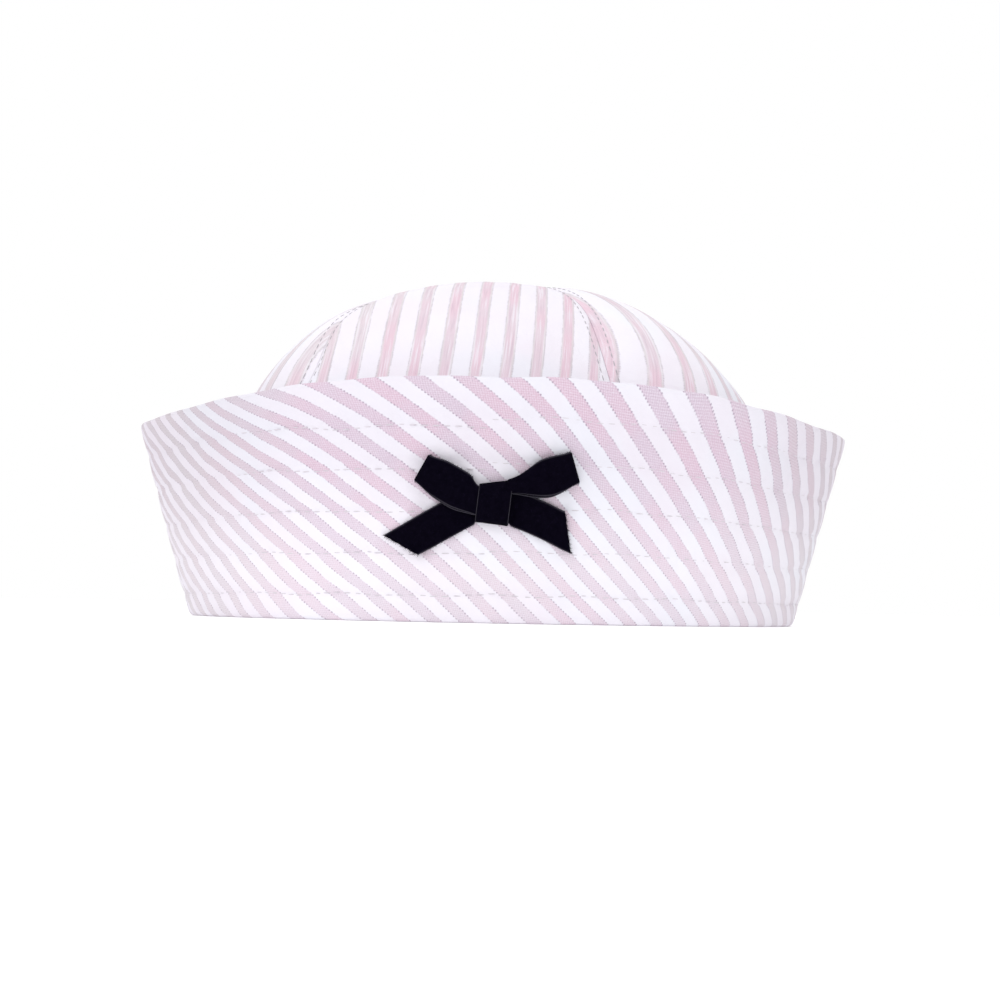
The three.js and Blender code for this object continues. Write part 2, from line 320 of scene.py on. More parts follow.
def side_fold(azimuth):
    """The brim keeps a soft corner at each side, as cloth does after it was stored flat."""
    push = np.zeros_like(azimuth)
    for place, size in SIDE_FOLDS:
        off = np.angle(np.exp(1j * (azimuth - place)))
        reach = np.where(off * np.sign(place) < 0, FOLD_REACH_FRONT, FOLD_REACH_BACK)
        push += size * np.exp(-(np.hypot(off, FOLD_ROUNDING) - FOLD_ROUNDING) / reach)
    return push


def sway(azimuth, height):
    share = np.clip(height / BRIM_HEIGHT, 0, 1)
    return SWAY_AT_TOP * share ** 1.5 * wave_height(brim_sway, azimuth) + share * side_fold(azimuth)


def front_stretch(azimuth):
    """The top edge climbs towards the front and dips a little before the side folds."""
    climb = BRIM_FRONT_RISE * ((1 + np.cos(azimuth)) / 2) ** 2
    off = azimuth - FRONT_PEAK_PLACE
    reach = np.where(off < 0, FRONT_PEAK_REACH_LEFT, FRONT_PEAK_REACH_RIGHT)
    climb = climb + FRONT_PEAK * np.exp(-((off / reach) ** 4))
    shoulder = (np.abs(azimuth) - SHOULDER_PLACE) / SHOULDER_REACH
    return 1 + (climb - SHOULDER_DROP * np.exp(-(shoulder ** 2))) / BRIM_HEIGHT


# %% A place on the finished brim's wall
def place_on_brim(azimuth, height, lift, side=1):
    """A point lift off the brim's outer wall (side 1) or inner wall (side -1), after all shaping."""
    azimuth, height, lift = np.broadcast_arrays(*np.atleast_1d(azimuth, height, lift))
    up = height / math.cos(wall_lean)
    out = quilting(azimuth, up) + lift
    wall = brim_radius(height) - (0 if side > 0 else BRIM_THICKNESS / math.cos(wall_lean))
    radius = wall + side * out * math.cos(wall_lean) + sway(azimuth, height)
    level = (height - side * out * math.sin(wall_lean)) * front_stretch(azimuth)
    level += EDGE_WOBBLE * (height / BRIM_HEIGHT) ** 3 * wave_height(brim_edge_wobble, azimuth)
    return np.stack([radius * np.sin(azimuth), -radius * np.cos(azimuth), level], axis=1)


# %% Shape the brim
ABOVE_GROOVE = 3.4 * MM
INSIDE_REACH = 1.3 * BRIM_THICKNESS
points = get_points(brim)
azimuth = np.arctan2(points[:, 0], -points[:, 1])
radius = np.hypot(points[:, 0], points[:, 1])
height = points[:, 2].copy()
behind_outside = brim_radius(height) - radius
on_outside = behind_outside < BRIM_THICKNESS / 2
on_inside = ~on_outside & (behind_outside < INSIDE_REACH) & (height > ABOVE_GROOVE)
up = height / math.cos(wall_lean)
out = np.where(on_outside | on_inside, quilting(azimuth, up), 0)
side = np.where(on_outside, 1.0, -1.0)
radius += side * out * math.cos(wall_lean) + sway(azimuth, height)
height -= side * out * math.sin(wall_lean)
height *= front_stretch(azimuth)
level = np.clip(height / BRIM_HEIGHT, 0, 1)
height += EDGE_WOBBLE * level ** 3 * wave_height(brim_edge_wobble, azimuth)
set_points(brim, np.stack([radius * np.sin(azimuth), -radius * np.cos(azimuth), height], axis=1))
print("brim outer radius mm", round(radius.max() / MM, 1), "top mm", round(height.max() / MM, 1))

# %% [markdown]
# The stripes of the brim slant, because the strip was cut on the bias, and easing it round the top
# edge bent them: they lie flatter at the left and stand up at the right. Counting stripes along
# the foot, the middle and the top of the brim every twenty degrees gives a small table, and smooth
# curves through those counts tell which stripe passes any point. Round the back they carry on
# evenly to the seam. Wrapped onto the UV map, they bend with the cloth.

# %% Stripe numbers on the brim
STRIPE_PITCH = 6.6 * MM
PLACE_STEP = math.radians(20)
FIRST_PLACE = math.radians(-80)
BACK_STRIPES_PER_PLACE = 3.4
STRIPE_COUNTS = {
    "foot": [-24.1, -20.7, -17.0, -14.1, -10.3, -6.6, -2.6, 0.9, 4.1],
    "middle": [-20.9, -17.5, -13.7, -10.1, -6.7, -2.7, 0.7, 4.0, 7.1],
    "top": [-17.1, -13.6, -8.9, -6.3, -3.3, -0.1, 2.6, 6.2, 9.5],
}


def stripes_at_level(level, azimuth):
    """The stripe number along one level, smooth between the counted places and even behind them."""
    counts = STRIPE_COUNTS[level]
    step = BACK_STRIPES_PER_PLACE
    counts = np.array([counts[0] - step] + counts + [counts[-1] + step])
    place = (azimuth - FIRST_PLACE) / PLACE_STEP
    inside = np.clip(place, 0, len(counts) - 3 - 1e-6)
    first = np.floor(inside).astype(int)
    t = inside - first
    before, start, end, after = (counts[first + offset] for offset in range(4))
    cubic = 3 * (start - end) + after - before
    bend = 2 * before - 5 * start + 4 * end - after
    number = start + 0.5 * t * (end - before + t * (bend + t * cubic))
    return number + (place - inside) * step


def stripe_number(azimuth, share):
    """share is 0 at the foot and 1 at the top; outside that the stripes carry on straight."""
    foot, middle, top = (stripes_at_level(level, azimuth) for level in ("foot", "middle", "top"))
    bend = 2 * (top - 2 * middle + foot)
    start = top - foot - bend
    inner = np.clip(share, 0, 1)
    number = foot + start * inner + bend * inner ** 2
    return number + (start + 2 * bend * inner) * (share - inner)


# %% The brim's cloth map
BIAS = math.radians(47)
GROOVE_BEHIND = 2.6 * MM


def along_stripe(azimuth, share):
    """Distance along the stripes, for the rows of dots and the weave."""
    across = azimuth * (BRIM_BOTTOM_RADIUS + BRIM_TOP_RADIUS) / 2
    return across * math.sin(BIAS) - share * BRIM_SLANT * math.cos(BIAS)


def brim_share(radius, height):
    """0 to 1 up the outside, on to 2 down the inside, and below 0 round the rim's inner roll."""
    wall = height / BRIM_HEIGHT
    behind_outside = brim_radius(height) - radius
    share = np.where(behind_outside < BRIM_THICKNESS / 2, wall, 2 - wall)
    under = (BRIM_BOTTOM_RADIUS - radius + height) / BRIM_SLANT
    return np.where(behind_outside > GROOVE_BEHIND, -under, share)


def flat_brim_place(piece, straight_points):
    """Azimuth and share for each face corner, with no jump where the azimuth wraps round."""
    corners = corner_points(piece)
    turn = np.arctan2(straight_points[:, 0], -straight_points[:, 1])[corners]
    starts = np.empty(len(piece.data.polygons), dtype=np.int64)
    sizes = np.empty(len(piece.data.polygons), dtype=np.int64)
    piece.data.polygons.foreach_get("loop_start", starts)
    piece.data.polygons.foreach_get("loop_total", sizes)
    first = np.repeat(turn[starts], sizes)
    turn = np.where(turn - first > math.pi, turn - math.tau, turn)
    turn = np.where(first - turn > math.pi, turn + math.tau, turn)
    spread = np.hypot(straight_points[:, 0], straight_points[:, 1])[corners]
    return turn, brim_share(spread, straight_points[corners, 2])


turn, share = flat_brim_place(brim, points)
set_cloth_uv(brim, np.stack([stripe_number(turn, share), along_stripe(turn, share) / MM], axis=1))
round_foot = float(stripe_number(math.pi, 0) - stripe_number(-math.pi, 0))
print("stripes round the brim's foot:", round(round_foot, 1))

# %% [markdown]
# The crown is four gores. Each is a grid wrapped onto the dome, whose profile is a straight wall
# that turns into a rounded cap. The cloth dips along the seams and puckers beside them, and its
# stripes run up the middle of each gore. Solidify then gives it the thickness of sewn cotton.

# %% Crown sizes
front_low, front_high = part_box("crown_front")
GORES = ["crown_front", "crown_right", "crown_back", "crown_left"]
CROWN_FOOT = front_low[2]
CROWN_HEIGHT = front_high[2] + 0.05 * MM
CROWN_RADIUS = 83.2 * MM
CROWN_WALL_TOP = 18 * MM
CROWN_WALL_FLARE = 1.4 * MM
CROWN_WALL_SHARE = 0.12
CROWN_SIDE_FULLNESS = 2.43
CROWN_TOP_FULLNESS = 2.29
CROWN_LEAN = 2.7 * MM
CROWN_THICKNESS = 0.8 * MM
FIRST_SEAM = math.radians(-60.5)
SEAM_SWINGS = [math.radians(15), math.radians(-7), 0, 0]
SWING_FROM = 60 * MM
SWING_TO = 115 * MM
CROWN_EXTRA_HEIGHT = 1.5 * MM
CROWN_SIDE_SHIFT = 1.9 * MM
CROWN_SIDE_SPREAD = 0.01
CROWN_CHANGE_FROM = 30 * MM
CROWN_CHANGE_TO = 62 * MM
TIP_RADIUS = 0.35 * MM
GORE_COLUMNS = 110
GORE_ROWS = 96
SEAM_DIP = 1.2 * MM
SEAM_REACH = 2.2 * MM
SEAM_PUCKER = 0.34 * MM
SEAM_CALM_RADIUS = 12 * MM
FOLD_CALM_RADIUS = 30 * MM
SLOPE_REACH = 0.8 * MM
CROWN_FOLD_HEIGHT = 0.45 * MM
CROWN_CREASE_HEIGHT = 0.09 * MM
print("crown from", round(CROWN_FOOT / MM, 1), "to", round(CROWN_HEIGHT / MM, 1), "mm")


# %% Crown profile
def crown_profile(t):
    """Radius and height up the crown, for t from 0 at its foot to 1 at its top."""
    flat = np.clip(t / CROWN_WALL_SHARE, 0, 1)
    wall_height = CROWN_FOOT + (CROWN_WALL_TOP - CROWN_FOOT) * flat
    wall_radius = CROWN_RADIUS + CROWN_WALL_FLARE * (1 - flat)
    tip_angle = math.acos((TIP_RADIUS / CROWN_RADIUS) ** (CROWN_SIDE_FULLNESS / 2))
    angle = tip_angle * np.clip((t - CROWN_WALL_SHARE) / (1 - CROWN_WALL_SHARE), 0, 1)
    dome_radius = CROWN_RADIUS * np.cos(angle) ** (2 / CROWN_SIDE_FULLNESS)
    dome_height = (CROWN_HEIGHT - CROWN_WALL_TOP) * np.sin(angle) ** (2 / CROWN_TOP_FULLNESS)
    on_wall = t < CROWN_WALL_SHARE
    radius = np.where(on_wall, wall_radius, dome_radius)
    height = np.where(on_wall, wall_height, CROWN_WALL_TOP + dome_height)
    return radius, height


profile_t = np.linspace(0, 1, 801)
profile_radius, profile_height = crown_profile(profile_t)
steps = np.hypot(np.diff(profile_radius), np.diff(profile_height))
profile_length = np.concatenate([[0], np.cumsum(steps)])
CROWN_PROFILE_LENGTH = profile_length[-1]
print("up the crown's profile mm", round(CROWN_PROFILE_LENGTH / MM, 1))


def crown_at_length(length):
    """Radius, height and outward direction at a distance up the profile."""
    ahead = np.minimum(length + SLOPE_REACH, CROWN_PROFILE_LENGTH)
    behind = np.maximum(length - SLOPE_REACH, 0)
    radius, radius_behind, radius_ahead = (
        np.interp(place, profile_length, profile_radius) for place in (length, behind, ahead))
    height, height_behind, height_ahead = (
        np.interp(place, profile_length, profile_height) for place in (length, behind, ahead))
    rise = height_ahead - height_behind
    run = radius_ahead - radius_behind
    size = np.hypot(rise, run)
    return radius, height, rise / size, -run / size


# %% Seams, and a place on the crown's cloth
def smoothstep(x, low, high):
    share = np.clip((x - low) / (high - low), 0, 1)
    return share * share * (3 - 2 * share)


def seam_azimuth(seam, length):
    """Seams run to the top a quarter turn apart, and the front two swing in towards the foot."""
    swing = SEAM_SWINGS[seam % len(GORES)] * (1 - smoothstep(length, SWING_FROM, SWING_TO))
    return FIRST_SEAM + seam * math.tau / len(GORES) + swing


def place_on_crown(gore, share, length, lift=0.0):
    """A point of a gore, where share runs from 0 at its first seam to 1 at its next."""
    radius, height, out_side, out_up = crown_at_length(length)
    first, last = seam_azimuth(gore, length), seam_azimuth(gore + 1, length)
    azimuth = first + (last - first) * share
    seam_distance = radius * (last - first) * np.minimum(share, 1 - share)
    fade = np.clip(radius / SEAM_CALM_RADIUS, 0, 1)
    dip = SEAM_DIP * np.exp(-seam_distance / SEAM_REACH)
    nearest = (gore + np.round(share)) % len(GORES)
    puckers = wave_height(crown_puckers, nearest, length)
    dip = dip - SEAM_PUCKER * puckers * np.exp(-seam_distance / (3 * SEAM_REACH))
    folds = CROWN_FOLD_HEIGHT * wave_height(crown_folds, azimuth, length)
    creases = CROWN_CREASE_HEIGHT * wave_height(crown_creases, azimuth, length)
    broad = np.clip(radius / FOLD_CALM_RADIUS, 0, 1) ** 2
    out = lift - dip * fade + (folds + creases) * broad * np.clip(length / FOLD_CALM_RADIUS, 0, 1)
    reach = radius + out_side * out
    level = height + out_up * out
    rise = np.clip((height - CROWN_WALL_TOP) / (CROWN_HEIGHT - CROWN_WALL_TOP), 0, 1)
    change = smoothstep(height, CROWN_CHANGE_FROM, CROWN_CHANGE_TO)
    x = reach * np.sin(azimuth)
    x = x - CROWN_LEAN * rise ** 3 + change * (CROWN_SIDE_SHIFT + CROWN_SIDE_SPREAD * x)
    level = level * (1 + change * CROWN_EXTRA_HEIGHT / CROWN_HEIGHT)
    return np.stack([x, -reach * np.cos(azimuth), level], axis=1)


# %% Wrap the four gores
SEAM_GAP = 0.1 * MM
CROWN_STRIPE_PITCH = 7.86 * MM
GRAIN_LEVEL = 67.3 * MM
GORE_GRAINS = {
    "crown_front": dict(line=8.1, slant=-10.9, pitch=7.4 * MM, number=7.03),
    "crown_right": dict(line=74.5, slant=-32.4, pitch=8.4 * MM, number=5.39),
    "crown_back": dict(line=164.5, slant=0.0, pitch=7.6 * MM, number=0.3),
    "crown_left": dict(line=254.5, slant=28.1, pitch=8.4 * MM, number=-4.93),
}


def gore_stripe_number(azimuth, radius, length, line, slant, pitch, number):
    """Stripes run straight along the grain, which slants from a chosen line up the crown."""
    across = radius * np.sin(azimuth - math.radians(line))
    slant = math.radians(slant)
    along = (length - GRAIN_LEVEL) * math.sin(slant)
    return (across * math.cos(slant) + along) / pitch + number


def add_gore(index, name):
    piece, u, v = add_cloth_grid(name + "_cloth", GORE_COLUMNS, GORE_ROWS)
    length = v * CROWN_PROFILE_LENGTH
    radius = np.interp(length, profile_length, profile_radius)
    first, last = seam_azimuth(index, length), seam_azimuth(index + 1, length)
    edge = SEAM_GAP / 2 / np.maximum(radius, TIP_RADIUS) / (last - first)
    share = edge + (1 - 2 * edge) * u
    set_points(piece, place_on_crown(index, share, length))
    azimuth = first + (last - first) * share
    number = gore_stripe_number(azimuth, radius, length, **GORE_GRAINS[name])
    corners = corner_points(piece)
    set_cloth_uv(piece, np.stack([number, length / MM], axis=1)[corners])
    apply_modifier(piece, "SOLIDIFY", thickness=CROWN_THICKNESS, offset=-1, use_even_offset=False)
    smooth_piece(piece)
    return piece


gores = [add_gore(index, name) for index, name in enumerate(GORES)]
smooth_piece(brim, 50)
print("gores:", [gore.name for gore in gores])

# %% [markdown]
# Inside, a plain pale band covers the seam where the crown meets the brim. It shows below the back
# of the rim when the hat is seen from low down. A cylinder is the natural start: its ends are
# left open, its wall is cut into rings, narrowed a little towards the top and made solid.

# %% Band inside the hat
BAND_TOP = 26 * MM
BAND_RADIUS = 81.9 * MM
BAND_NARROWING = 1.4 * MM
BAND_THICKNESS = 0.7 * MM
BAND_RINGS = 12
BAND_BULGE = 0.25 * MM
BAND_WOBBLE = 0.12 * MM
band_foot = CROWN_FOOT - 0.2 * MM
clear_selection()
bpy.ops.mesh.primitive_cylinder_add(
    vertices=180, radius=BAND_RADIUS, depth=BAND_TOP - band_foot, end_fill_type="NOTHING",
    location=(0, 0, (BAND_TOP + band_foot) / 2))
band = name_piece("sweatband_cloth")
bpy.ops.object.mode_set(mode="EDIT")
for ring in range(1, BAND_RINGS):
    level = band_foot + (BAND_TOP - band_foot) * ring / BAND_RINGS
    bpy.ops.mesh.select_all(action="SELECT")
    bpy.ops.mesh.bisect(plane_co=(0, 0, level), plane_no=(0, 0, 1))
bpy.ops.mesh.select_all(action="SELECT")
bpy.ops.mesh.normals_make_consistent(inside=False)
bpy.ops.object.mode_set(mode="OBJECT")
points = get_points(band)
band_share = (points[:, 2] - band_foot) / (BAND_TOP - band_foot)
band_turn = np.arctan2(points[:, 0], -points[:, 1])
narrow = 1 - BAND_NARROWING / BAND_RADIUS * band_share
bulge = BAND_BULGE * np.sin(math.pi * band_share)
bulge = bulge + BAND_WOBBLE * wave_height(brim_edge_wobble, band_turn)
points[:, :2] *= (narrow + bulge / BAND_RADIUS)[:, None]
set_points(band, points)
apply_modifier(band, "SOLIDIFY", thickness=BAND_THICKNESS, offset=-1)
apply_modifier(band, "BEVEL", width=0.2 * MM, segments=2, limit_method="ANGLE")
smooth_piece(band)
print("band vertices:", len(band.data.vertices))

# %% [markdown]
# Thread is what makes cloth look sewn. One stitch is modelled from a small sphere, drawn out into
# a rounded dash, and copied by its matrix along each row. All the copies of a row become one
# mesh, because hundreds of separate objects would be slow.

# %% One stitch
STITCH_PITCH = 2.8 * MM
STITCH_LENGTH = 1.9 * MM
THREAD_RADIUS = 0.14 * MM
THREAD_LIFT = 0.02 * MM
ROW_JITTER = 0.06
ROW_DRIFT = 0.25 * MM


def model_stitch():
    clear_selection()
    bpy.ops.mesh.primitive_uv_sphere_add(segments=6, ring_count=5, radius=1)
    stitch = name_piece("stitch_pattern")
    bpy.ops.object.mode_set(mode="EDIT")
    bpy.ops.mesh.select_all(action="SELECT")
    bpy.ops.transform.rotate(value=math.pi / 2, orient_axis="Y", center_override=(0, 0, 0))
    size = (STITCH_LENGTH / 2, THREAD_RADIUS, THREAD_RADIUS)
    bpy.ops.transform.resize(value=size, center_override=(0, 0, 0))
    bpy.ops.object.mode_set(mode="OBJECT")
    return stitch


# %% Copies of a shape as one mesh
def repeat_shape(name, pattern, matrices):
    """One mesh holding a copy of the pattern for each matrix."""
    base = get_points(pattern)
    faces = [list(face.vertices) for face in pattern.data.polygons]
    all_points = []
    all_faces = []
    for number, matrix in enumerate(matrices):
        turned = base @ np.array(matrix.to_3x3()).T + np.array(matrix.translation)
        all_points.append(turned)
        all_faces += [[index + number * len(base) for index in face] for face in faces]
    mesh = bpy.data.meshes.new(name)
    mesh.from_pydata(np.concatenate(all_points).tolist(), [], all_faces)
    mesh.update()
    piece = bpy.data.objects.new(name, mesh)
    bpy.context.scene.collection.objects.link(piece)
    smooth_piece(piece, 80)
    return piece


def frame_matrix(start, ahead, outward):
    """A matrix whose X runs ahead and whose Z points outward."""
    along = (ahead - start).normalized()
    out = (outward - along * outward.dot(along)).normalized()
    turn = Matrix((along, out.cross(along), out)).transposed()
    return Matrix.Translation(start) @ turn.to_4x4()


stitch = model_stitch()
print("faces in a stitch:", len(stitch.data.polygons))


# %% Five rows of topstitching on both sides of the brim
def stitch_row(row_up, side):
    height = row_up * math.cos(wall_lean)
    count = int(math.tau * brim_radius(height) / STITCH_PITCH)
    matrices = []
    turns = np.arange(count) * math.tau / count
    jitter = np.array([chance.uniform(-ROW_JITTER, ROW_JITTER) for _ in turns])
    turns = turns + jitter * STITCH_PITCH / BRIM_TOP_RADIUS
    height = height + ROW_DRIFT * wave_height(brim_edge_wobble, turns + row_up * 90)
    here = place_on_brim(turns, height, THREAD_LIFT, side)
    ahead = place_on_brim(turns + 0.01, height, THREAD_LIFT, side)
    for start, end, turn in zip(here, ahead, turns):
        out = Vector((math.sin(turn), -math.cos(turn), -math.tan(wall_lean))) * side
        matrices.append(frame_matrix(Vector(start), Vector(end), out))
    return matrices


outer_stitches = [matrix for row in STITCH_ROWS for matrix in stitch_row(row, 1)]
inner_stitches = [matrix for row in STITCH_ROWS for matrix in stitch_row(row, -1)]
brim_stitching = repeat_shape("brim_stitching", stitch, outer_stitches)
brim_stitching_inside = repeat_shape("brim_stitching_inside", stitch, inner_stitches)
print("stitches on the brim:", len(outer_stitches), "outside,", len(inner_stitches), "inside")

# %% Topstitching on both sides of the crown's seams
SEAM_STITCH_OFF = 2.3 * MM
SEAM_STITCH_FROM = 12 * MM
SEAM_STITCH_TO = CROWN_PROFILE_LENGTH - 9 * MM
SEAM_THREAD_LIFT = 0.03 * MM
SEAM_JITTER = 0.08


def seam_row(seam, side):
    """Stitches beside one seam, on the gore after it (side 1) or before it (side -1)."""
    gore = seam if side > 0 else seam - 1

    def beside_seam(length):
        radius, _, out_side, out_up = crown_at_length(length)
        first, last = seam_azimuth(gore, length), seam_azimuth(gore + 1, length)
        off = SEAM_STITCH_OFF / (radius * (last - first))
        share = off if side > 0 else 1 - off
        azimuth = first + (last - first) * share
        outward = np.stack([out_side * np.sin(azimuth), -out_side * np.cos(azimuth), out_up], axis=1)
        return place_on_crown(gore, share, length, SEAM_THREAD_LIFT), outward

    length = np.arange(SEAM_STITCH_FROM, SEAM_STITCH_TO, STITCH_PITCH)
    length = length + np.array([chance.uniform(-SEAM_JITTER, SEAM_JITTER) for _ in length]) * STITCH_PITCH
    here, outward = beside_seam(length)
    ahead, _ = beside_seam(length + MM)
    return [frame_matrix(*map(Vector, row)) for row in zip(here, ahead, outward)]


seams_and_sides = [(seam, side) for seam in range(len(GORES)) for side in (1, -1)]
seam_stitches = [matrix for seam, side in seams_and_sides for matrix in seam_row(seam, side)]
crown_stitching = repeat_shape("crown_stitching", stitch, seam_stitches)
print("stitches on the crown:", len(seam_stitches))

# %% [markdown]
# The bow is velvet ribbon: two flattened loops, two slanted tails and a knot drawn tight round the
# middle. Each is a grid laid out in three easy measures, across the brim, up from the table and
# out from the cloth, and then wrapped onto the brim's slanted wall, so the bow hugs the hat.

# %% Bow sizes and the helper that lays a ribbon on the brim
RIBBON_WIDTH = 8.4 * MM
RIBBON_THICKNESS = 0.75 * MM
BOW_RAISE = 2.4
KNOT_MIDDLE = (26.1 + BOW_RAISE) * MM
KNOT_WIDTH = 8.3 * MM
KNOT_HEIGHT = 9.9 * MM
KNOT_DEPTH = 4.1 * MM
KNOT_LEAN = 0.5 * MM
LAY_OFF = 0.18 * MM
TAPER_FROM = 0.66


def place_bow(across, height, lift):
    turn = across / brim_radius(height)
    wall_height = height / front_stretch(turn)
    radius = brim_radius(wall_height) + lift + sway(turn, wall_height)
    return np.stack([radius * np.sin(turn), -radius * np.cos(turn), height + 0 * across], axis=1)


def ribbon_plan(distance, share, start, end, start_width, gathered, bow=0, belly=0, end_width=1):
    """Across and height of a point of ribbon, gathered narrow beside the knot."""
    start, end = (np.array([across, height + BOW_RAISE]) * MM for across, height in (start, end))
    whole = np.linalg.norm(end - start)
    along = (end - start) / whole
    opened = smoothstep(distance, 0, whole * gathered)[:, None]
    flat_side = np.array([-along[1], along[0]])
    beside_knot = np.array([0, math.copysign(1, along[0])])
    side = flat_side * opened + beside_knot * (1 - opened)
    width = start_width * MM + (RIBBON_WIDTH - start_width * MM) * opened[:, 0]
    width = width * (1 - (1 - end_width) * smoothstep(distance, TAPER_FROM * whole, whole))
    arch = np.sin(math.pi * np.clip(distance / whole, 0, 1))
    width = width * (1 + belly * arch)
    place = start + along * distance[:, None] + side * (width * share)[:, None]
    place = place + flat_side * (bow * MM * arch)[:, None]
    return place[:, 0], place[:, 1]


def finish_ribbon(piece, uv, offset=0):
    """Gives a shaped ribbon grid its cloth map, its thickness and rounded edges."""
    set_cloth_uv(piece, uv[corner_points(piece)])
    apply_modifier(piece, "SOLIDIFY", thickness=RIBBON_THICKNESS, offset=offset, use_even_offset=True)
    apply_modifier(piece, "SUBSURF", levels=1, render_levels=1)
    smooth_piece(piece, 80)
    return piece


# %% Loops
LOOPS = {
    "bow_loop_left": dict(
        start=(-3.2, 26.3), end=(-16.9, 34.0), start_width=7.0, gathered=0.35, belly=0.07,
        end_width=0.84),
    "bow_loop_right": dict(
        start=(3.2, 29.9), end=(18.9, 34.8), start_width=3.3, gathered=0.62, bow=-0.5, belly=0.05,
        end_width=0.9),
}
LOOP_END_RADIUS = 0.7 * MM
LOOP_LAYER_SHARE = 0.4
LOOP_FRONT_LIFT = 2.7 * MM
LOOP_BACK_LIFT = 1.45 * MM
LOOP_CREST = 0.2 * MM
LOOP_END_CLEARANCE = 0.2 * MM
LOOP_CUP = 0.35 * MM
LOOP_SINK_BEHIND = 0.7 * MM
LOOP_TOP_DROOP = 0.55 * MM
LOOP_END_DROOP = 0.15 * MM
DROOP_REACH = 3 * MM


# %% Shape of a loop
def loop_path(length, u):
    """Distance from the knot and lift off the brim, out along the front layer and back behind."""
    end_lift = LAY_OFF + RIBBON_THICKNESS / 2 + LOOP_END_RADIUS + LOOP_END_CLEARANCE
    straight = length - LOOP_END_RADIUS
    front = np.clip(u / LOOP_LAYER_SHARE, 0, 1)
    back = np.clip((1 - u) / LOOP_LAYER_SHARE, 0, 1)
    front_lift = LOOP_FRONT_LIFT + (end_lift + LOOP_END_RADIUS - LOOP_FRONT_LIFT) * front ** 2
    front_lift = front_lift + LOOP_CREST * np.sin(math.pi * front)
    back_lift = LOOP_BACK_LIFT + (end_lift - LOOP_END_RADIUS - LOOP_BACK_LIFT) * back ** 2
    turn = math.pi * (0.5 - (u - LOOP_LAYER_SHARE) / (1 - 2 * LOOP_LAYER_SHARE))
    distance = np.where(u < LOOP_LAYER_SHARE, straight * front, straight * back)
    lift = np.where(u < LOOP_LAYER_SHARE, front_lift, back_lift)
    in_turn = (u >= LOOP_LAYER_SHARE) & (u <= 1 - LOOP_LAYER_SHARE)
    distance = np.where(in_turn, straight + LOOP_END_RADIUS * np.cos(turn), distance)
    return distance, np.where(in_turn, end_lift + LOOP_END_RADIUS * np.sin(turn), lift)


def loop_surface(shape, u, v):
    """u runs out along the front layer and back behind it, and v across the ribbon."""
    length = math.dist(shape["start"], shape["end"]) * MM
    distance, lift = loop_path(length, u)
    cupped = LOOP_CUP * (1 - (2 * v - 1) ** 2) * np.cos(math.pi * u)
    across, height = ribbon_plan(distance, v - 0.5, **shape)
    arch = np.sin(math.pi * np.clip(distance / length, 0, 1))
    behind = np.clip((u - 0.5) * 2, 0, 1) * arch
    top_share = v if shape["end"][0] > 0 else 1 - v
    end_droop = LOOP_END_DROOP * smoothstep(distance, 0, DROOP_REACH)
    drooped = top_share * (end_droop + LOOP_TOP_DROOP * arch)
    return place_bow(across, height - LOOP_SINK_BEHIND * behind, lift + cupped - drooped)


def add_loop(name, shape):
    piece, u, v = add_cloth_grid(name + "_ribbon", 64, 14)
    set_points(piece, loop_surface(shape, u, v))
    length = math.dist(shape["start"], shape["end"])
    return finish_ribbon(piece, np.stack([v * RIBBON_WIDTH / MM, u * 2 * length], axis=1))


loops = [add_loop(name, shape) for name, shape in LOOPS.items()]
print("loops:", [loop.name for loop in loops])

# %% Tails
TAILS = {
    "bow_tail_left": dict(
        start=(-3.2, 26.5), end=(-22.1, 15.9), start_width=7.0, gathered=0.2),
    "bow_tail_right": dict(
        start=(3.2, 25.5), end=(17.9, 19.5), start_width=7.7, gathered=0.2, bow=0.3),
}
TAIL_CUT_SLANT = 5.4 * MM
TAIL_WAVE = 0.4 * MM
TAIL_CURL = 0.45 * MM
RAGGED_CUT = 0.16 * MM


def tail_surface(shape, u, v):
    """The tails lie on the brim with a soft wave along them, and their cut ends are ragged."""
    length = math.dist(shape["start"], shape["end"]) * MM
    ragged = RAGGED_CUT * np.sin(v * 41) * np.sin(v * 17 + 1) * smoothstep(u, 0.9, 1.0)
    distance = u * (length - TAIL_CUT_SLANT * (v - 0.5)) + ragged
    across, height = ribbon_plan(distance, v - 0.5, **shape)
    wave = TAIL_WAVE * np.sin(math.pi * u) ** 2
    curl = TAIL_CURL * smoothstep(u, 0.75, 1.0) * (0.4 + v)
    return place_bow(across, height, LAY_OFF + RIBBON_THICKNESS / 2 + wave + curl)


def add_tail(name, shape):
    piece, u, v = add_cloth_grid(name + "_ribbon", 40, 16)
    set_points(piece, tail_surface(shape, u, v))
    length = math.dist(shape["start"], shape["end"])
    return finish_ribbon(piece, np.stack([v * RIBBON_WIDTH / MM, u * length], axis=1))


tails = [add_tail(name, shape) for name, shape in TAILS.items()]
print("tails:", [tail.name for tail in tails])

# %% Knot
KNOT_WRAP = math.radians(118)
KNOT_TUCK_FROM = 0.76
KNOT_TUCK = 0.9 * MM
KNOT_ROOT_LIFT = 1.2 * MM
KNOT_ROUNDNESS = 0.55
KNOT_SHIFT = 0.1 * MM
KNOT_TOP_SLOPE = 0.75 * MM
KNOT_FOOT_SLOPE = 0.55 * MM
KNOT_CREASE = 0.22 * MM
KNOT_EDGE_DROP = 0.55 * MM


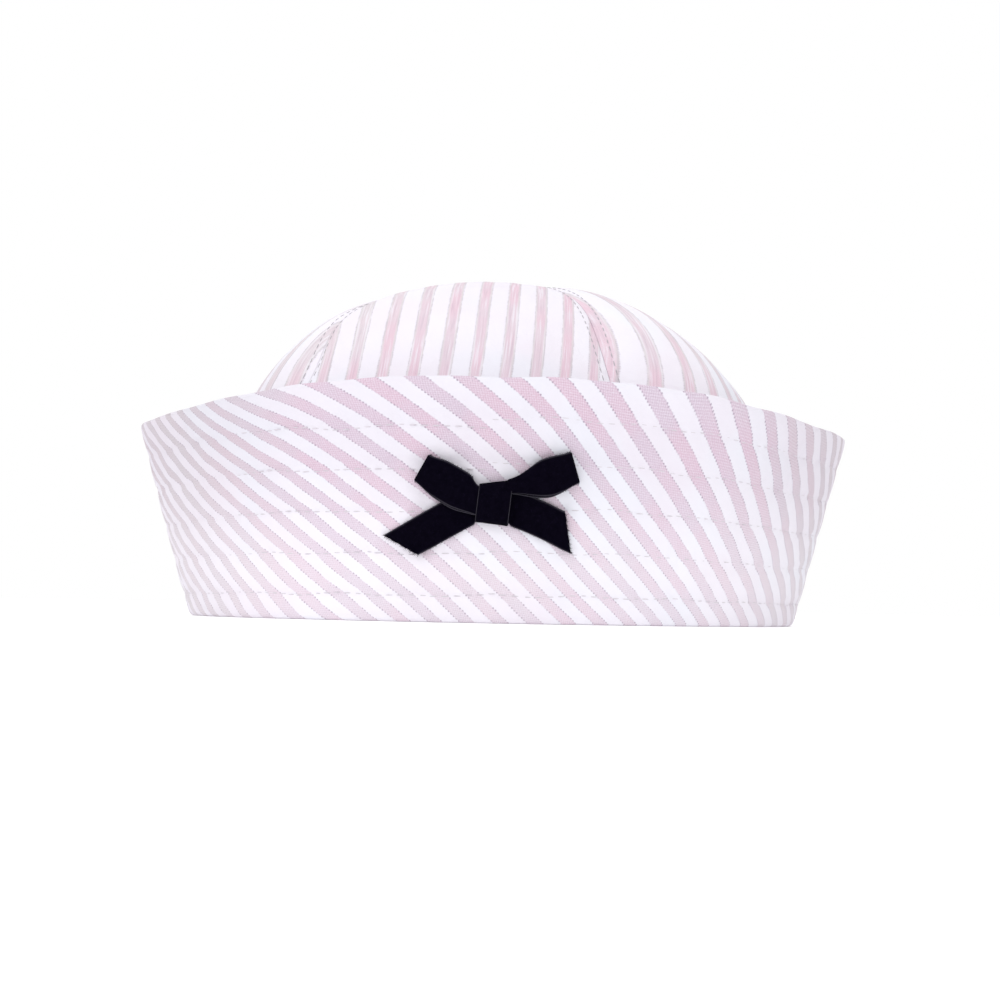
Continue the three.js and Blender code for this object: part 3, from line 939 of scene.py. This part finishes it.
def knot_surface(u, v):
    """A short band wrapped over the middle of the bow, folded under above and below."""
    wrap = (v - 0.5) * 2
    above, below = np.clip(wrap, 0, 1), np.clip(-wrap, 0, 1)
    bend = np.clip(KNOT_WRAP * wrap, -math.pi / 2, math.pi / 2)
    up = np.sin(bend)
    tuck = np.clip(np.abs(wrap) - KNOT_TUCK_FROM, 0, 1) / (1 - KNOT_TUCK_FROM)
    height = KNOT_MIDDLE + up * KNOT_HEIGHT / 2 * (1 - 0.12 * tuck ** 2)
    round_over = np.cos(bend) ** KNOT_ROUNDNESS
    lift = KNOT_ROOT_LIFT + (KNOT_DEPTH - KNOT_ROOT_LIFT) * round_over - KNOT_TUCK * tuck
    right = 2 * u - 1
    pinched = 1 - 0.05 * (1 - wrap ** 2) - 0.10 * below ** 3
    across = right * KNOT_WIDTH / 2 * pinched + KNOT_LEAN * up + KNOT_SHIFT
    slope = right * (KNOT_TOP_SLOPE * above - KNOT_FOOT_SLOPE * below)
    crease = KNOT_CREASE * np.sin(right * 5.2 + wrap * 1.4) * (1 - wrap ** 2)
    return place_bow(across, height + slope, lift + crease - KNOT_EDGE_DROP * right ** 6)


def add_knot():
    piece, u, v = add_cloth_grid("bow_knot_ribbon", 26, 44)
    set_points(piece, knot_surface(u, v))
    return finish_ribbon(piece, np.stack([u * RIBBON_WIDTH / MM, v * 20], axis=1), offset=-1)


knot = add_knot()
print("knot vertices:", len(knot.data.vertices))

# %% [markdown]
# Velvet is a pile of cut threads, so its edges are never sharp: short hairs stand out along them, and
# longer ones where the ribbon was cut. One hair is a thin cone, repeated along the edges with a
# seeded random lean and length.

# %% Hairs along the velvet's edges
HAIR_LENGTH = 0.5 * MM
HAIR_RADIUS = 0.035 * MM
HAIRS_ALONG_EDGE = 170
HAIRS_AT_CUT = 120
HAIR_SPREAD = 0.55
HAIR_ROOT = 0.01
HAIR_BEYOND = 0.06


def model_hair():
    clear_selection()
    bpy.ops.mesh.primitive_cone_add(
        vertices=3, radius1=HAIR_RADIUS, radius2=HAIR_RADIUS / 4, depth=HAIR_LENGTH,
        location=(0, 0, HAIR_LENGTH / 2))
    return name_piece("hair_pattern")


def hair_matrices(surface, from_uv, beyond_uv, longest):
    """Hairs rooted at from_uv on a ribbon and pointing towards beyond_uv."""
    matrices = []
    for root, ahead in zip(surface(*from_uv), surface(*beyond_uv)):
        lean = Vector([chance.gauss(0, HAIR_SPREAD) for _ in range(3)])
        way = Vector(ahead - root).normalized() + lean
        turn = way.to_track_quat("Z", "Y").to_matrix().to_4x4()
        matrices.append(Matrix.Translation(root) @ turn @ Matrix.Scale(chance.uniform(0.4, longest), 4))
    return matrices


def edge_hairs(surface, last_u):
    u = np.array([chance.uniform(0.08, last_u) for _ in range(HAIRS_ALONG_EDGE)])
    edge = np.full_like(u, HAIR_ROOT)
    beyond = np.full_like(u, -HAIR_BEYOND)
    matrices = hair_matrices(surface, (u, edge), (u, beyond), 1.0)
    return matrices + hair_matrices(surface, (u, 1 - edge), (u, 1 - beyond), 1.0)


def cut_hairs(surface):
    v = np.array([chance.random() for _ in range(HAIRS_AT_CUT)])
    cut, beyond = np.full_like(v, 0.995), np.full_like(v, 1.05)
    return hair_matrices(surface, (cut, v), (beyond, v), 1.7)


nap = []
for shape in LOOPS.values():
    nap += edge_hairs(partial(loop_surface, shape), 0.5)
for shape in TAILS.values():
    nap += edge_hairs(partial(tail_surface, shape), 1.0)
    nap += cut_hairs(partial(tail_surface, shape))
fold_v = np.array([chance.random() for _ in range(HAIRS_AT_CUT)])
before_fold, at_fold = np.full_like(fold_v, 0.42), np.full_like(fold_v, 0.5)
for shape in LOOPS.values():
    surface = partial(loop_surface, shape)
    nap += hair_matrices(surface, (before_fold, fold_v), (at_fold, fold_v), 1.0)
hair = model_hair()
bow_nap = repeat_shape("bow_nap", hair, nap)
print("hairs:", len(nap))

# %% [markdown]
# Materials. Both the brim and the crown are the same woven cotton, so the stripes are one shader
# node group that reads the piece's cloth UV map: the first number counts stripes, and the second is
# the distance along them in millimetres. A small helper class keeps the node code short.

# %% Helper for node trees
FLOAT = "NodeSocketFloat"
COLOR = "NodeSocketColor"
VECTOR = "NodeSocketVector"


class Nodes:
    """Adds nodes to a tree and joins sockets, with plain numbers allowed as inputs."""

    def __init__(self, tree):
        self.tree = tree

    def add(self, kind, inputs=None, **settings):
        node = self.tree.nodes.new(kind)
        for key, value in settings.items():
            setattr(node, key, value)
        for key, value in (inputs or {}).items():
            self.join(value, node.inputs[key])
        return node

    def join(self, value, socket):
        if isinstance(value, bpy.types.NodeSocket):
            self.tree.links.new(value, socket)
        else:
            socket.default_value = value

    def math(self, operation, first, second=0.0, clamp=False):
        inputs = {0: first, 1: second}
        return self.add("ShaderNodeMath", inputs, operation=operation, use_clamp=clamp).outputs[0]

    def times(self, first, second):
        return self.math("MULTIPLY", first, second)

    def plus(self, first, second):
        return self.math("ADD", first, second)

    def minus(self, first, second):
        return self.math("SUBTRACT", first, second)

    def size(self, value):
        return self.math("ABSOLUTE", value)

    def wave(self, distance, length):
        return self.math("SINE", self.times(distance, math.tau / length))

    def step(self, value, low, high):
        """0 below low and 1 above high, with a smooth rise between them."""
        inputs = {"Value": value, "From Min": low, "From Max": high}
        node = self.add("ShaderNodeMapRange", inputs, interpolation_type="SMOOTHSTEP")
        return node.outputs["Result"]

    def fall(self, value, low, high):
        """1 below low and 0 above high."""
        return self.minus(1.0, self.step(value, low, high))

    def blend(self, factor, first, second, kind="MIX"):
        node = self.add("ShaderNodeMix", data_type="RGBA", blend_type=kind)
        self.join(factor, node.inputs["Factor"])
        self.join(first, node.inputs[6])
        self.join(second, node.inputs[7])
        return node.outputs[2]

    def noise(self, vector, scale, detail=2.0, roughness=0.5):
        inputs = {"Vector": vector, "Scale": scale, "Detail": detail, "Roughness": roughness}
        return self.add("ShaderNodeTexNoise", inputs).outputs["Fac"]

    def split(self, vector):
        return self.add("ShaderNodeSeparateXYZ", {0: vector}).outputs

    def combine(self, x, y):
        return self.add("ShaderNodeCombineXYZ", {0: x, 1: y}).outputs[0]


# %% Helper for node groups
def new_group(name, inputs, outputs):
    """An empty node group, its node helper, and the sockets inside it that carry its inputs."""
    group = bpy.data.node_groups.new(name, "ShaderNodeTree")
    for label, kind, value in inputs:
        socket = group.interface.new_socket(name=label, in_out="INPUT", socket_type=kind)
        if value is not None:
            socket.default_value = value
    for label, kind in outputs:
        group.interface.new_socket(name=label, in_out="OUTPUT", socket_type=kind)
    nodes = Nodes(group)
    return group, nodes, nodes.add("NodeGroupInput").outputs, nodes.add("NodeGroupOutput").inputs


# %% [markdown]
# The stripe group: the distance from the middle of a pink stripe, in stripe widths, gives a soft
# mask. Along both of its edges runs a row of darker dots, where a doubled coloured thread surfaces.
# A few functions each add one part of this to the group, from masks to colours to heights.

# %% Mask of the stripes, and the dots along their edges
EDGE_WANDER = 0.055
EDGE_SOFTNESS = 0.02
DOT_PITCH = 0.86
DOT_SIZE = (0.10, 0.28)
DOT_BAND = (0.06, 0.27)
DOT_STRENGTH = 0.80
PLAIN_EDGE = 0.32


def stripe_mask(nodes, given, number, flat):
    """The mask, the distance from the stripe's middle and past its edge, and the stripe's number."""
    wander = nodes.times(nodes.minus(nodes.noise(flat, 0.9, 3.0), 0.5), EDGE_WANDER)
    shifted = nodes.plus(nodes.plus(number, 0.5), wander)
    from_middle = nodes.size(nodes.minus(nodes.math("FRACT", shifted), 0.5))
    past_edge = nodes.minus(from_middle, given["Half Width"])
    stripe = nodes.fall(past_edge, -EDGE_SOFTNESS, EDGE_SOFTNESS)
    return stripe, from_middle, past_edge, nodes.math("FLOOR", shifted)


def edge_dots(nodes, given, past_edge, along, flat):
    edge_band = nodes.fall(nodes.times(nodes.size(past_edge), given["Pitch"]), *DOT_BAND)
    phase = nodes.math("FRACT", nodes.math("DIVIDE", along, DOT_PITCH))
    dot_off = nodes.times(nodes.size(nodes.minus(phase, 0.5)), DOT_PITCH)
    dotted = nodes.times(nodes.fall(dot_off, *DOT_SIZE), given["Dotting"])
    plain = nodes.times(nodes.minus(1.0, given["Dotting"]), PLAIN_EDGE)
    worn = nodes.times(nodes.step(nodes.noise(flat, 0.4), 0.30, 0.60), DOT_STRENGTH)
    return nodes.times(nodes.times(edge_band, nodes.plus(dotted, plain)), worn)


# %% [markdown]
# Each stripe's yarn drifts between rose and mauve along its length, with random faded patches.
# Painted shade greys the stripes towards the hat's sides and higher up the crown, and painted
# light makes them greyer and paler towards the foot, which lies in shade. On the brim the white
# warp and shaded weft show through as fine specks. On the crown the cloth is sleeker, with streaks
# that run along the stripe.

# %% Colour of the stripes
# Where the painted shade at the sides and the painted light towards the foot begin.
SIDE_SHADE_MIDDLE = 0.006
SIDE_FROM, SIDE_TO = 0.045, 0.100
LOW_FROM, LOW_TO = 0.006, 0.045
BRIM_EDGE_LEVEL = 0.055
SPECK_WIDTH, SPECK_LENGTH = 0.66, 0.84
STREAK_SHAPE = (1.7, 0.055, 1.0)


def stripe_yarn(nodes, given, index, along):
    yarn = nodes.combine(nodes.times(index, 3.7), nodes.times(along, 0.045))
    drift = nodes.step(nodes.noise(yarn, 1.0), 0.40, 0.64)
    return nodes.blend(drift, given["Rose"], given["Mauve"])


def fade_and_painted_light(nodes, given, pink, sideways, level, low):
    over_brim = nodes.math("MAXIMUM", nodes.minus(level, BRIM_EDGE_LEVEL), 0.0)
    outwards = nodes.plus(sideways, nodes.times(over_brim, 1.2))
    # Painted shade: the stripes grey towards the hat's sides and higher up the crown.
    painted_side_shade = nodes.times(nodes.step(outwards, SIDE_FROM, SIDE_TO), 0.75)
    # Faded patches at random, the cloth's own.
    patches = nodes.times(nodes.minus(nodes.noise(given["Place"], 38.0), 0.50), 0.6)
    # The grey mix holds the painted side shade, a little painted shade towards the foot and the random
    # patches.
    fade = nodes.math("ADD", nodes.plus(painted_side_shade, nodes.times(low, 0.2)), patches, clamp=True)
    pink = nodes.blend(fade, pink, given["Grey"])
    # Painted light: the stripes are paler towards the foot, which lies in shade.
    return nodes.blend(nodes.times(low, 0.26), pink, given["White"])


def add_specks(nodes, given, pink, across, along, flat):
    threads = nodes.times(nodes.wave(across, SPECK_WIDTH), nodes.wave(along, SPECK_LENGTH))
    chance_threads = nodes.times(nodes.noise(flat, 2.7, 3.0, 0.75), 3.2)
    figure = nodes.plus(nodes.times(threads, 0.6), chance_threads)
    pale = nodes.times(nodes.step(figure, 1.55, 2.15), nodes.times(given["Speckle"], 0.46))
    dark = nodes.times(nodes.fall(figure, 0.80, 1.25), nodes.times(given["Speckle"], 0.34))
    return nodes.blend(dark, nodes.blend(pale, pink, given["White"]), given["Dot"])


def add_streaks(nodes, given, pink, from_middle, flat):
    sleek = nodes.minus(1.0, given["Speckle"])
    outer = nodes.step(nodes.math("DIVIDE", from_middle, given["Half Width"]), 0.50, 0.95)
    pink = nodes.blend(nodes.times(outer, sleek), pink, given["Grey"])
    stretch = {0: flat, 1: STREAK_SHAPE}
    lengthwise = nodes.add("ShaderNodeVectorMath", stretch, operation="MULTIPLY").outputs[0]
    streaks = nodes.noise(lengthwise, 1.0, 3.0, 0.6)
    gloss = nodes.times(nodes.step(streaks, 0.50, 0.66), nodes.times(sleek, 0.75))
    depth = nodes.times(nodes.fall(streaks, 0.34, 0.48), nodes.times(sleek, 0.28))
    return nodes.blend(depth, nodes.blend(gloss, pink, given["White"]), given["Dot"])


# %% Colour of the white ground, and the painted shade over all
COOL_WHITE = (0.855, 0.885, 0.95, 1)
# Painted shade at the hat's sides and on its right side.
PAINTED_SIDE_SHADE = (0.905, 0.885, 0.89, 1)
PAINTED_RIGHT_SHADE = (0.95, 0.955, 0.955, 1)


def white_ground(nodes, given):
    rosy = nodes.step(nodes.noise(given["Place"], 45.0), 0.35, 0.7)
    cool = nodes.step(nodes.noise(given["Place"], 27.0), 0.48, 0.66)
    white = nodes.blend(nodes.times(rosy, 0.10), given["White"], given["Rose"])
    return nodes.blend(nodes.times(cool, 0.5), white, COOL_WHITE)


def paint_shade_by_place(nodes, given, color, x, sideways, low):
    # Painted shade over all the cloth but the foot, so the foot, which lies in shade, reads lighter.
    color = nodes.blend(nodes.minus(1.0, low), color, given["Handled"], "MULTIPLY")
    # Painted shade at the hat's sides.
    color = nodes.blend(nodes.step(sideways, 0.050, 0.098), color, PAINTED_SIDE_SHADE, "MULTIPLY")
    # Painted shade on the hat's right side, away from the key light.
    return nodes.blend(nodes.step(x, 0.030, 0.085), color, PAINTED_RIGHT_SHADE, "MULTIPLY")


# %% Height of the weave, in millimetres
THREAD_WIDTH = 0.34


def weave_height(nodes, across, along, flat, stripe, dots):
    threads = nodes.times(nodes.wave(across, THREAD_WIDTH), nodes.wave(along, THREAD_WIDTH))
    weave = nodes.times(threads, 0.05)
    slub = nodes.times(nodes.noise(flat, 1.4, 3.0, 0.6), 0.12)
    crinkle = nodes.times(nodes.noise(flat, 0.42), 0.28)
    raised = nodes.times(nodes.plus(stripe, dots), 0.06)
    return nodes.plus(nodes.plus(weave, slub), nodes.plus(crinkle, raised))


# %% Node group for the woven stripes
STRIPE_INPUTS = [
    ("Cloth", VECTOR, None), ("Place", VECTOR, None), ("Pitch", FLOAT, 6.6),
    ("Half Width", FLOAT, 0.215), ("Dotting", FLOAT, 1.0), ("Speckle", FLOAT, 1.0),
    ("Rose", COLOR, (0.75, 0.56, 0.67, 1)), ("Mauve", COLOR, (0.71, 0.59, 0.695, 1)),
    ("Grey", COLOR, (0.69, 0.665, 0.68, 1)), ("White", COLOR, (0.90, 0.875, 0.94, 1)),
    # The last colour darkens all the cloth but the foot, as painted shade.
    ("Dot", COLOR, (0.40, 0.31, 0.41, 1)), ("Handled", COLOR, (0.875, 0.87, 0.885, 1)),
]


def build_stripe_group():
    group, nodes, given, result = new_group(
        "woven_stripes", STRIPE_INPUTS, [("Color", COLOR), ("Height", FLOAT)])
    number, along, _ = nodes.split(given["Cloth"])
    x, _, level = nodes.split(given["Place"])
    across = nodes.times(number, given["Pitch"])
    flat = nodes.combine(across, along)
    sideways = nodes.size(nodes.minus(x, SIDE_SHADE_MIDDLE))
    low = nodes.fall(level, LOW_FROM, LOW_TO)

    stripe, from_middle, past_edge, index = stripe_mask(nodes, given, number, flat)
    dots = edge_dots(nodes, given, past_edge, along, flat)
    pink = stripe_yarn(nodes, given, index, along)
    # Painted shade at the sides, and painted light and shade towards the foot.
    pink = fade_and_painted_light(nodes, given, pink, sideways, level, low)
    pink = add_specks(nodes, given, pink, across, along, flat)
    pink = add_streaks(nodes, given, pink, from_middle, flat)
    color = nodes.blend(stripe, white_ground(nodes, given), pink)
    color = nodes.blend(dots, color, given["Dot"])
    # Painted shade above the foot, at the sides and on the right.
    nodes.join(paint_shade_by_place(nodes, given, color, x, sideways, low), result["Color"])
    nodes.join(weave_height(nodes, across, along, flat, stripe, dots), result["Height"])
    return group


stripe_group = build_stripe_group()
print("stripe group nodes:", len(stripe_group.nodes))

# %% [markdown]
# A material is finished by one helper: it joins the colour, turns a height into a bump, and sets
# how rough and how shiny the surface is. The cotton of brim and crown differs only in the values
# that its stripe group gets.

# %% Striped cotton
def new_material(name):
    material = bpy.data.materials.new(name)
    material.use_nodes = True
    return material, Nodes(material.node_tree), material.node_tree.nodes["Principled BSDF"].inputs


def finish_surface(nodes, surface, color, height, strength, depth, roughness):
    """Joins colour and bump to a shader; depth is how far the bump's height reaches."""
    nodes.join(color, surface["Base Color"])
    bump = nodes.add("ShaderNodeBump", {"Height": height, "Strength": strength, "Distance": depth})
    nodes.join(bump.outputs[0], surface["Normal"])
    surface["Roughness"].default_value = roughness


def striped_cotton(name, pitch, half_width, dotting, speckle, **colors):
    material, nodes, surface = new_material(name)
    inputs = {
        "Cloth": nodes.add("ShaderNodeUVMap", uv_map="cloth").outputs[0],
        "Place": nodes.add("ShaderNodeTexCoord").outputs["Object"],
        "Pitch": pitch / MM, "Half Width": half_width, "Dotting": dotting, "Speckle": speckle,
    }
    inputs.update({label: (*color, 1) for label, color in colors.items()})
    stripes = nodes.add("ShaderNodeGroup", node_tree=stripe_group)
    for label, value in inputs.items():
        nodes.join(value, stripes.inputs[label])
    finish_surface(
        nodes, surface, stripes.outputs["Color"], stripes.outputs["Height"],
        strength=0.75, depth=1.0 * MM, roughness=0.86)
    surface["Specular IOR Level"].default_value = 0.25
    surface["Sheen Weight"].default_value = 0.08
    return material


brim_cotton = striped_cotton(
    "striped_cotton_brim", STRIPE_PITCH, half_width=0.226, dotting=1.0, speckle=1.0)
# The crown's painted shade above the foot is lighter than the brim's.
crown_cotton = striped_cotton(
    "striped_cotton_crown", CROWN_STRIPE_PITCH, half_width=0.208, dotting=0.25, speckle=0.2,
    Rose=(0.80, 0.59, 0.68), Mauve=(0.76, 0.64, 0.71), Grey=(0.735, 0.71, 0.72),
    Handled=(0.93, 0.925, 0.935))
print("materials:", brim_cotton.name, crown_cotton.name)

# %% [markdown]
# Velvet takes up nearly all light: a very dark base with no shine. What shows its shape is the pile
# catching light at a glancing angle, so it gets a little sheen, and the ribbon's woven edge is a
# shade lighter than the pile. The band inside is plain twill, with its fine diagonal ribs.

# %% Velvet, twill and thread
PILE_DARK = (0.0008, 0.0005, 0.002, 1)
PILE_LIGHT = (0.004, 0.003, 0.008, 1)
SELVEDGE_COLOR = (0.05, 0.047, 0.06, 1)
TWILL_DARK = (0.66, 0.60, 0.66, 1)
TWILL_LIGHT = (0.76, 0.71, 0.76, 1)
TWILL_RIB = (0.86, 0.83, 0.86, 1)
TWILL_RIB_PITCH = 0.9


def black_velvet():
    material, nodes, surface = new_material("black_velvet")
    across = nodes.split(nodes.add("ShaderNodeUVMap", uv_map="cloth").outputs[0])[0]
    place = nodes.add("ShaderNodeTexCoord").outputs["Object"]
    from_edge = nodes.math("MINIMUM", across, nodes.minus(RIBBON_WIDTH / MM, across))
    selvedge = nodes.fall(from_edge, 0.15, 0.42)
    nap = nodes.noise(place, 900.0, 3.0, 0.6)
    pile = nodes.blend(nap, PILE_DARK, PILE_LIGHT)
    color = nodes.blend(nodes.times(selvedge, 0.7), pile, SELVEDGE_COLOR)
    finish_surface(nodes, surface, color, nap, strength=0.5, depth=0.3 * MM, roughness=1.0)
    surface["Specular IOR Level"].default_value = 0.0
    surface["Sheen Weight"].default_value = 0.02
    surface["Sheen Roughness"].default_value = 0.45
    return material


def plain_twill():
    material, nodes, surface = new_material("plain_twill")
    place = nodes.add("ShaderNodeTexCoord").outputs["Object"]
    x, y, level = nodes.split(place)
    around = nodes.times(nodes.math("ARCTAN2", x, y), BAND_RADIUS / MM)
    ribs = nodes.wave(nodes.plus(around, nodes.times(level, 1 / MM)), TWILL_RIB_PITCH)
    mottle = nodes.noise(place, 260.0, 3.0)
    color = nodes.blend(mottle, TWILL_DARK, TWILL_LIGHT)
    color = nodes.blend(nodes.times(nodes.step(ribs, -0.9, 0.9), 0.12), color, TWILL_RIB)
    height = nodes.plus(ribs, nodes.times(mottle, 2.0))
    finish_surface(nodes, surface, color, height, strength=0.4, depth=0.12 * MM, roughness=0.85)
    surface["Specular IOR Level"].default_value = 0.25
    return material


def cotton_thread(name, dark, light):
    material, nodes, surface = new_material(name)
    fuzz = nodes.noise(nodes.add("ShaderNodeTexCoord").outputs["Object"], 1400.0)
    color = nodes.blend(fuzz, (*dark, 1), (*light, 1))
    finish_surface(nodes, surface, color, fuzz, strength=1.0, depth=0.1 * MM, roughness=0.7)
    return material


velvet = black_velvet()
twill = plain_twill()
# The brim's thread is white, coloured grey here as painted shade in the dimples where it sinks into the
# cloth.
thread_with_painted_shade = cotton_thread("thread_with_painted_shade", (0.52, 0.48, 0.53), (0.74, 0.70, 0.75))
grey_thread = cotton_thread("grey_thread", (0.34, 0.32, 0.35), (0.52, 0.50, 0.53))
print("materials:", velvet.name, twill.name, thread_with_painted_shade.name, grey_thread.name)

# %% [markdown]
# Every finished piece gets its material, rides on the hat's only body, and hides the nodes of the
# frame that it stands for, if any. The stitch and hair patterns go.

# %% Hand the pieces over
finish_piece(brim, brim_cotton, "striped_cotton", "brim")
for gore, name in zip(gores, GORES):
    finish_piece(gore, crown_cotton, "striped_cotton", name)
finish_piece(band, twill, "plain_twill", "sweatband")
for ribbon, name in zip(loops + tails + [knot], [*LOOPS, *TAILS, "bow_knot"]):
    finish_piece(ribbon, velvet, "black_velvet", name)
finish_piece(bow_nap, velvet, "black_velvet")
finish_piece(crown_stitching, grey_thread, "striped_cotton")
finish_piece(brim_stitching, thread_with_painted_shade, "striped_cotton")
finish_piece(brim_stitching_inside, thread_with_painted_shade, "striped_cotton")
for pattern in (stitch, hair):
    bpy.data.objects.remove(pattern, do_unlink=True)

# %% [markdown]
# The photograph was taken from just below the rim. Here the hat stands on a floor, so the camera
# comes as low as it can above it, at the same distance, and turned by the same slight roll.
# The floor and the light all round are both so pale that no horizon shows behind the hat.

# %% Floor
FLOOR_SIZE = 12.0
clear_selection()
bpy.ops.mesh.primitive_plane_add(size=FLOOR_SIZE, location=(0, 0, 0))
floor = name_piece("studio_floor")
paper, _, paper_surface = new_material("white_paper")
paper_surface["Base Color"].default_value = (0.93, 0.93, 0.93, 1)
paper_surface["Roughness"].default_value = 1.0
paper_surface["Specular IOR Level"].default_value = 0.0
paper_surface["Emission Color"].default_value = (1.0, 1.0, 1.0, 1)
paper_surface["Emission Strength"].default_value = 0.22
floor.data.materials.append(paper)
print("floor box:", [round(value, 2) for value in floor.dimensions])

# %% Light
world = bpy.data.worlds.new("soft_room")
world.use_nodes = True
backdrop = world.node_tree.nodes["Background"].inputs
backdrop["Color"].default_value = (1.0, 1.0, 1.0, 1)
backdrop["Strength"].default_value = 1.0
bpy.context.scene.world = world
LIT_PLACE = Vector((0, 0, 0.05))
LIGHTS = {
    "key_light": dict(place=(-0.7, -0.9, 0.9), size=0.9, power=3.5),
    "fill_light": dict(place=(0.9, -0.7, 0.5), size=1.0, power=0.6),
    "low_light": dict(place=(0.1, -1.1, 0.12), size=0.7, power=0.3),
    "top_light": dict(place=(0.0, 0.1, 1.3), size=1.2, power=2.6),
}
for name, light in LIGHTS.items():
    clear_selection()
    bpy.ops.object.light_add(type="AREA", location=light["place"])
    lamp = bpy.context.object
    lamp.name = name
    lamp.data.size = light["size"]
    lamp.data.energy = light["power"]
    aim = LIT_PLACE - Vector(light["place"])
    lamp.rotation_euler = aim.to_track_quat("-Z", "Y").to_euler()
bpy.context.scene.view_settings.view_transform = "Standard"
print("lights:", list(LIGHTS))

# %% Camera
PIXEL = 0.30 * MM
FOCAL_PIXELS = 1500
CAMERA_DISTANCE = FOCAL_PIXELS * PIXEL
CAMERA_HEIGHT = 4 * MM
HAT_MIDDLE_PIXEL = (493.5, 607.0)
PHOTO_ROLL = math.radians(1.1)
SENSOR = 36.0
aim_right = (500 - HAT_MIDDLE_PIXEL[0]) * PIXEL
aim_up = CAMERA_HEIGHT + (HAT_MIDDLE_PIXEL[1] - 500) * PIXEL
clear_selection()
bpy.ops.object.camera_add(location=(0, -CAMERA_DISTANCE, CAMERA_HEIGHT))
camera = bpy.context.object
camera.name = "photo_camera"
view = Vector((aim_right, CAMERA_DISTANCE, aim_up - CAMERA_HEIGHT))
turn = view.to_track_quat("-Z", "Y") @ Quaternion((0, 0, 1), PHOTO_ROLL)
camera.rotation_euler = turn.to_euler()
camera.data.sensor_width = SENSOR
camera.data.lens = SENSOR * FOCAL_PIXELS / 1000
camera.data.clip_start = 0.01
bpy.context.scene.camera = camera
print("lens mm:", camera.data.lens)
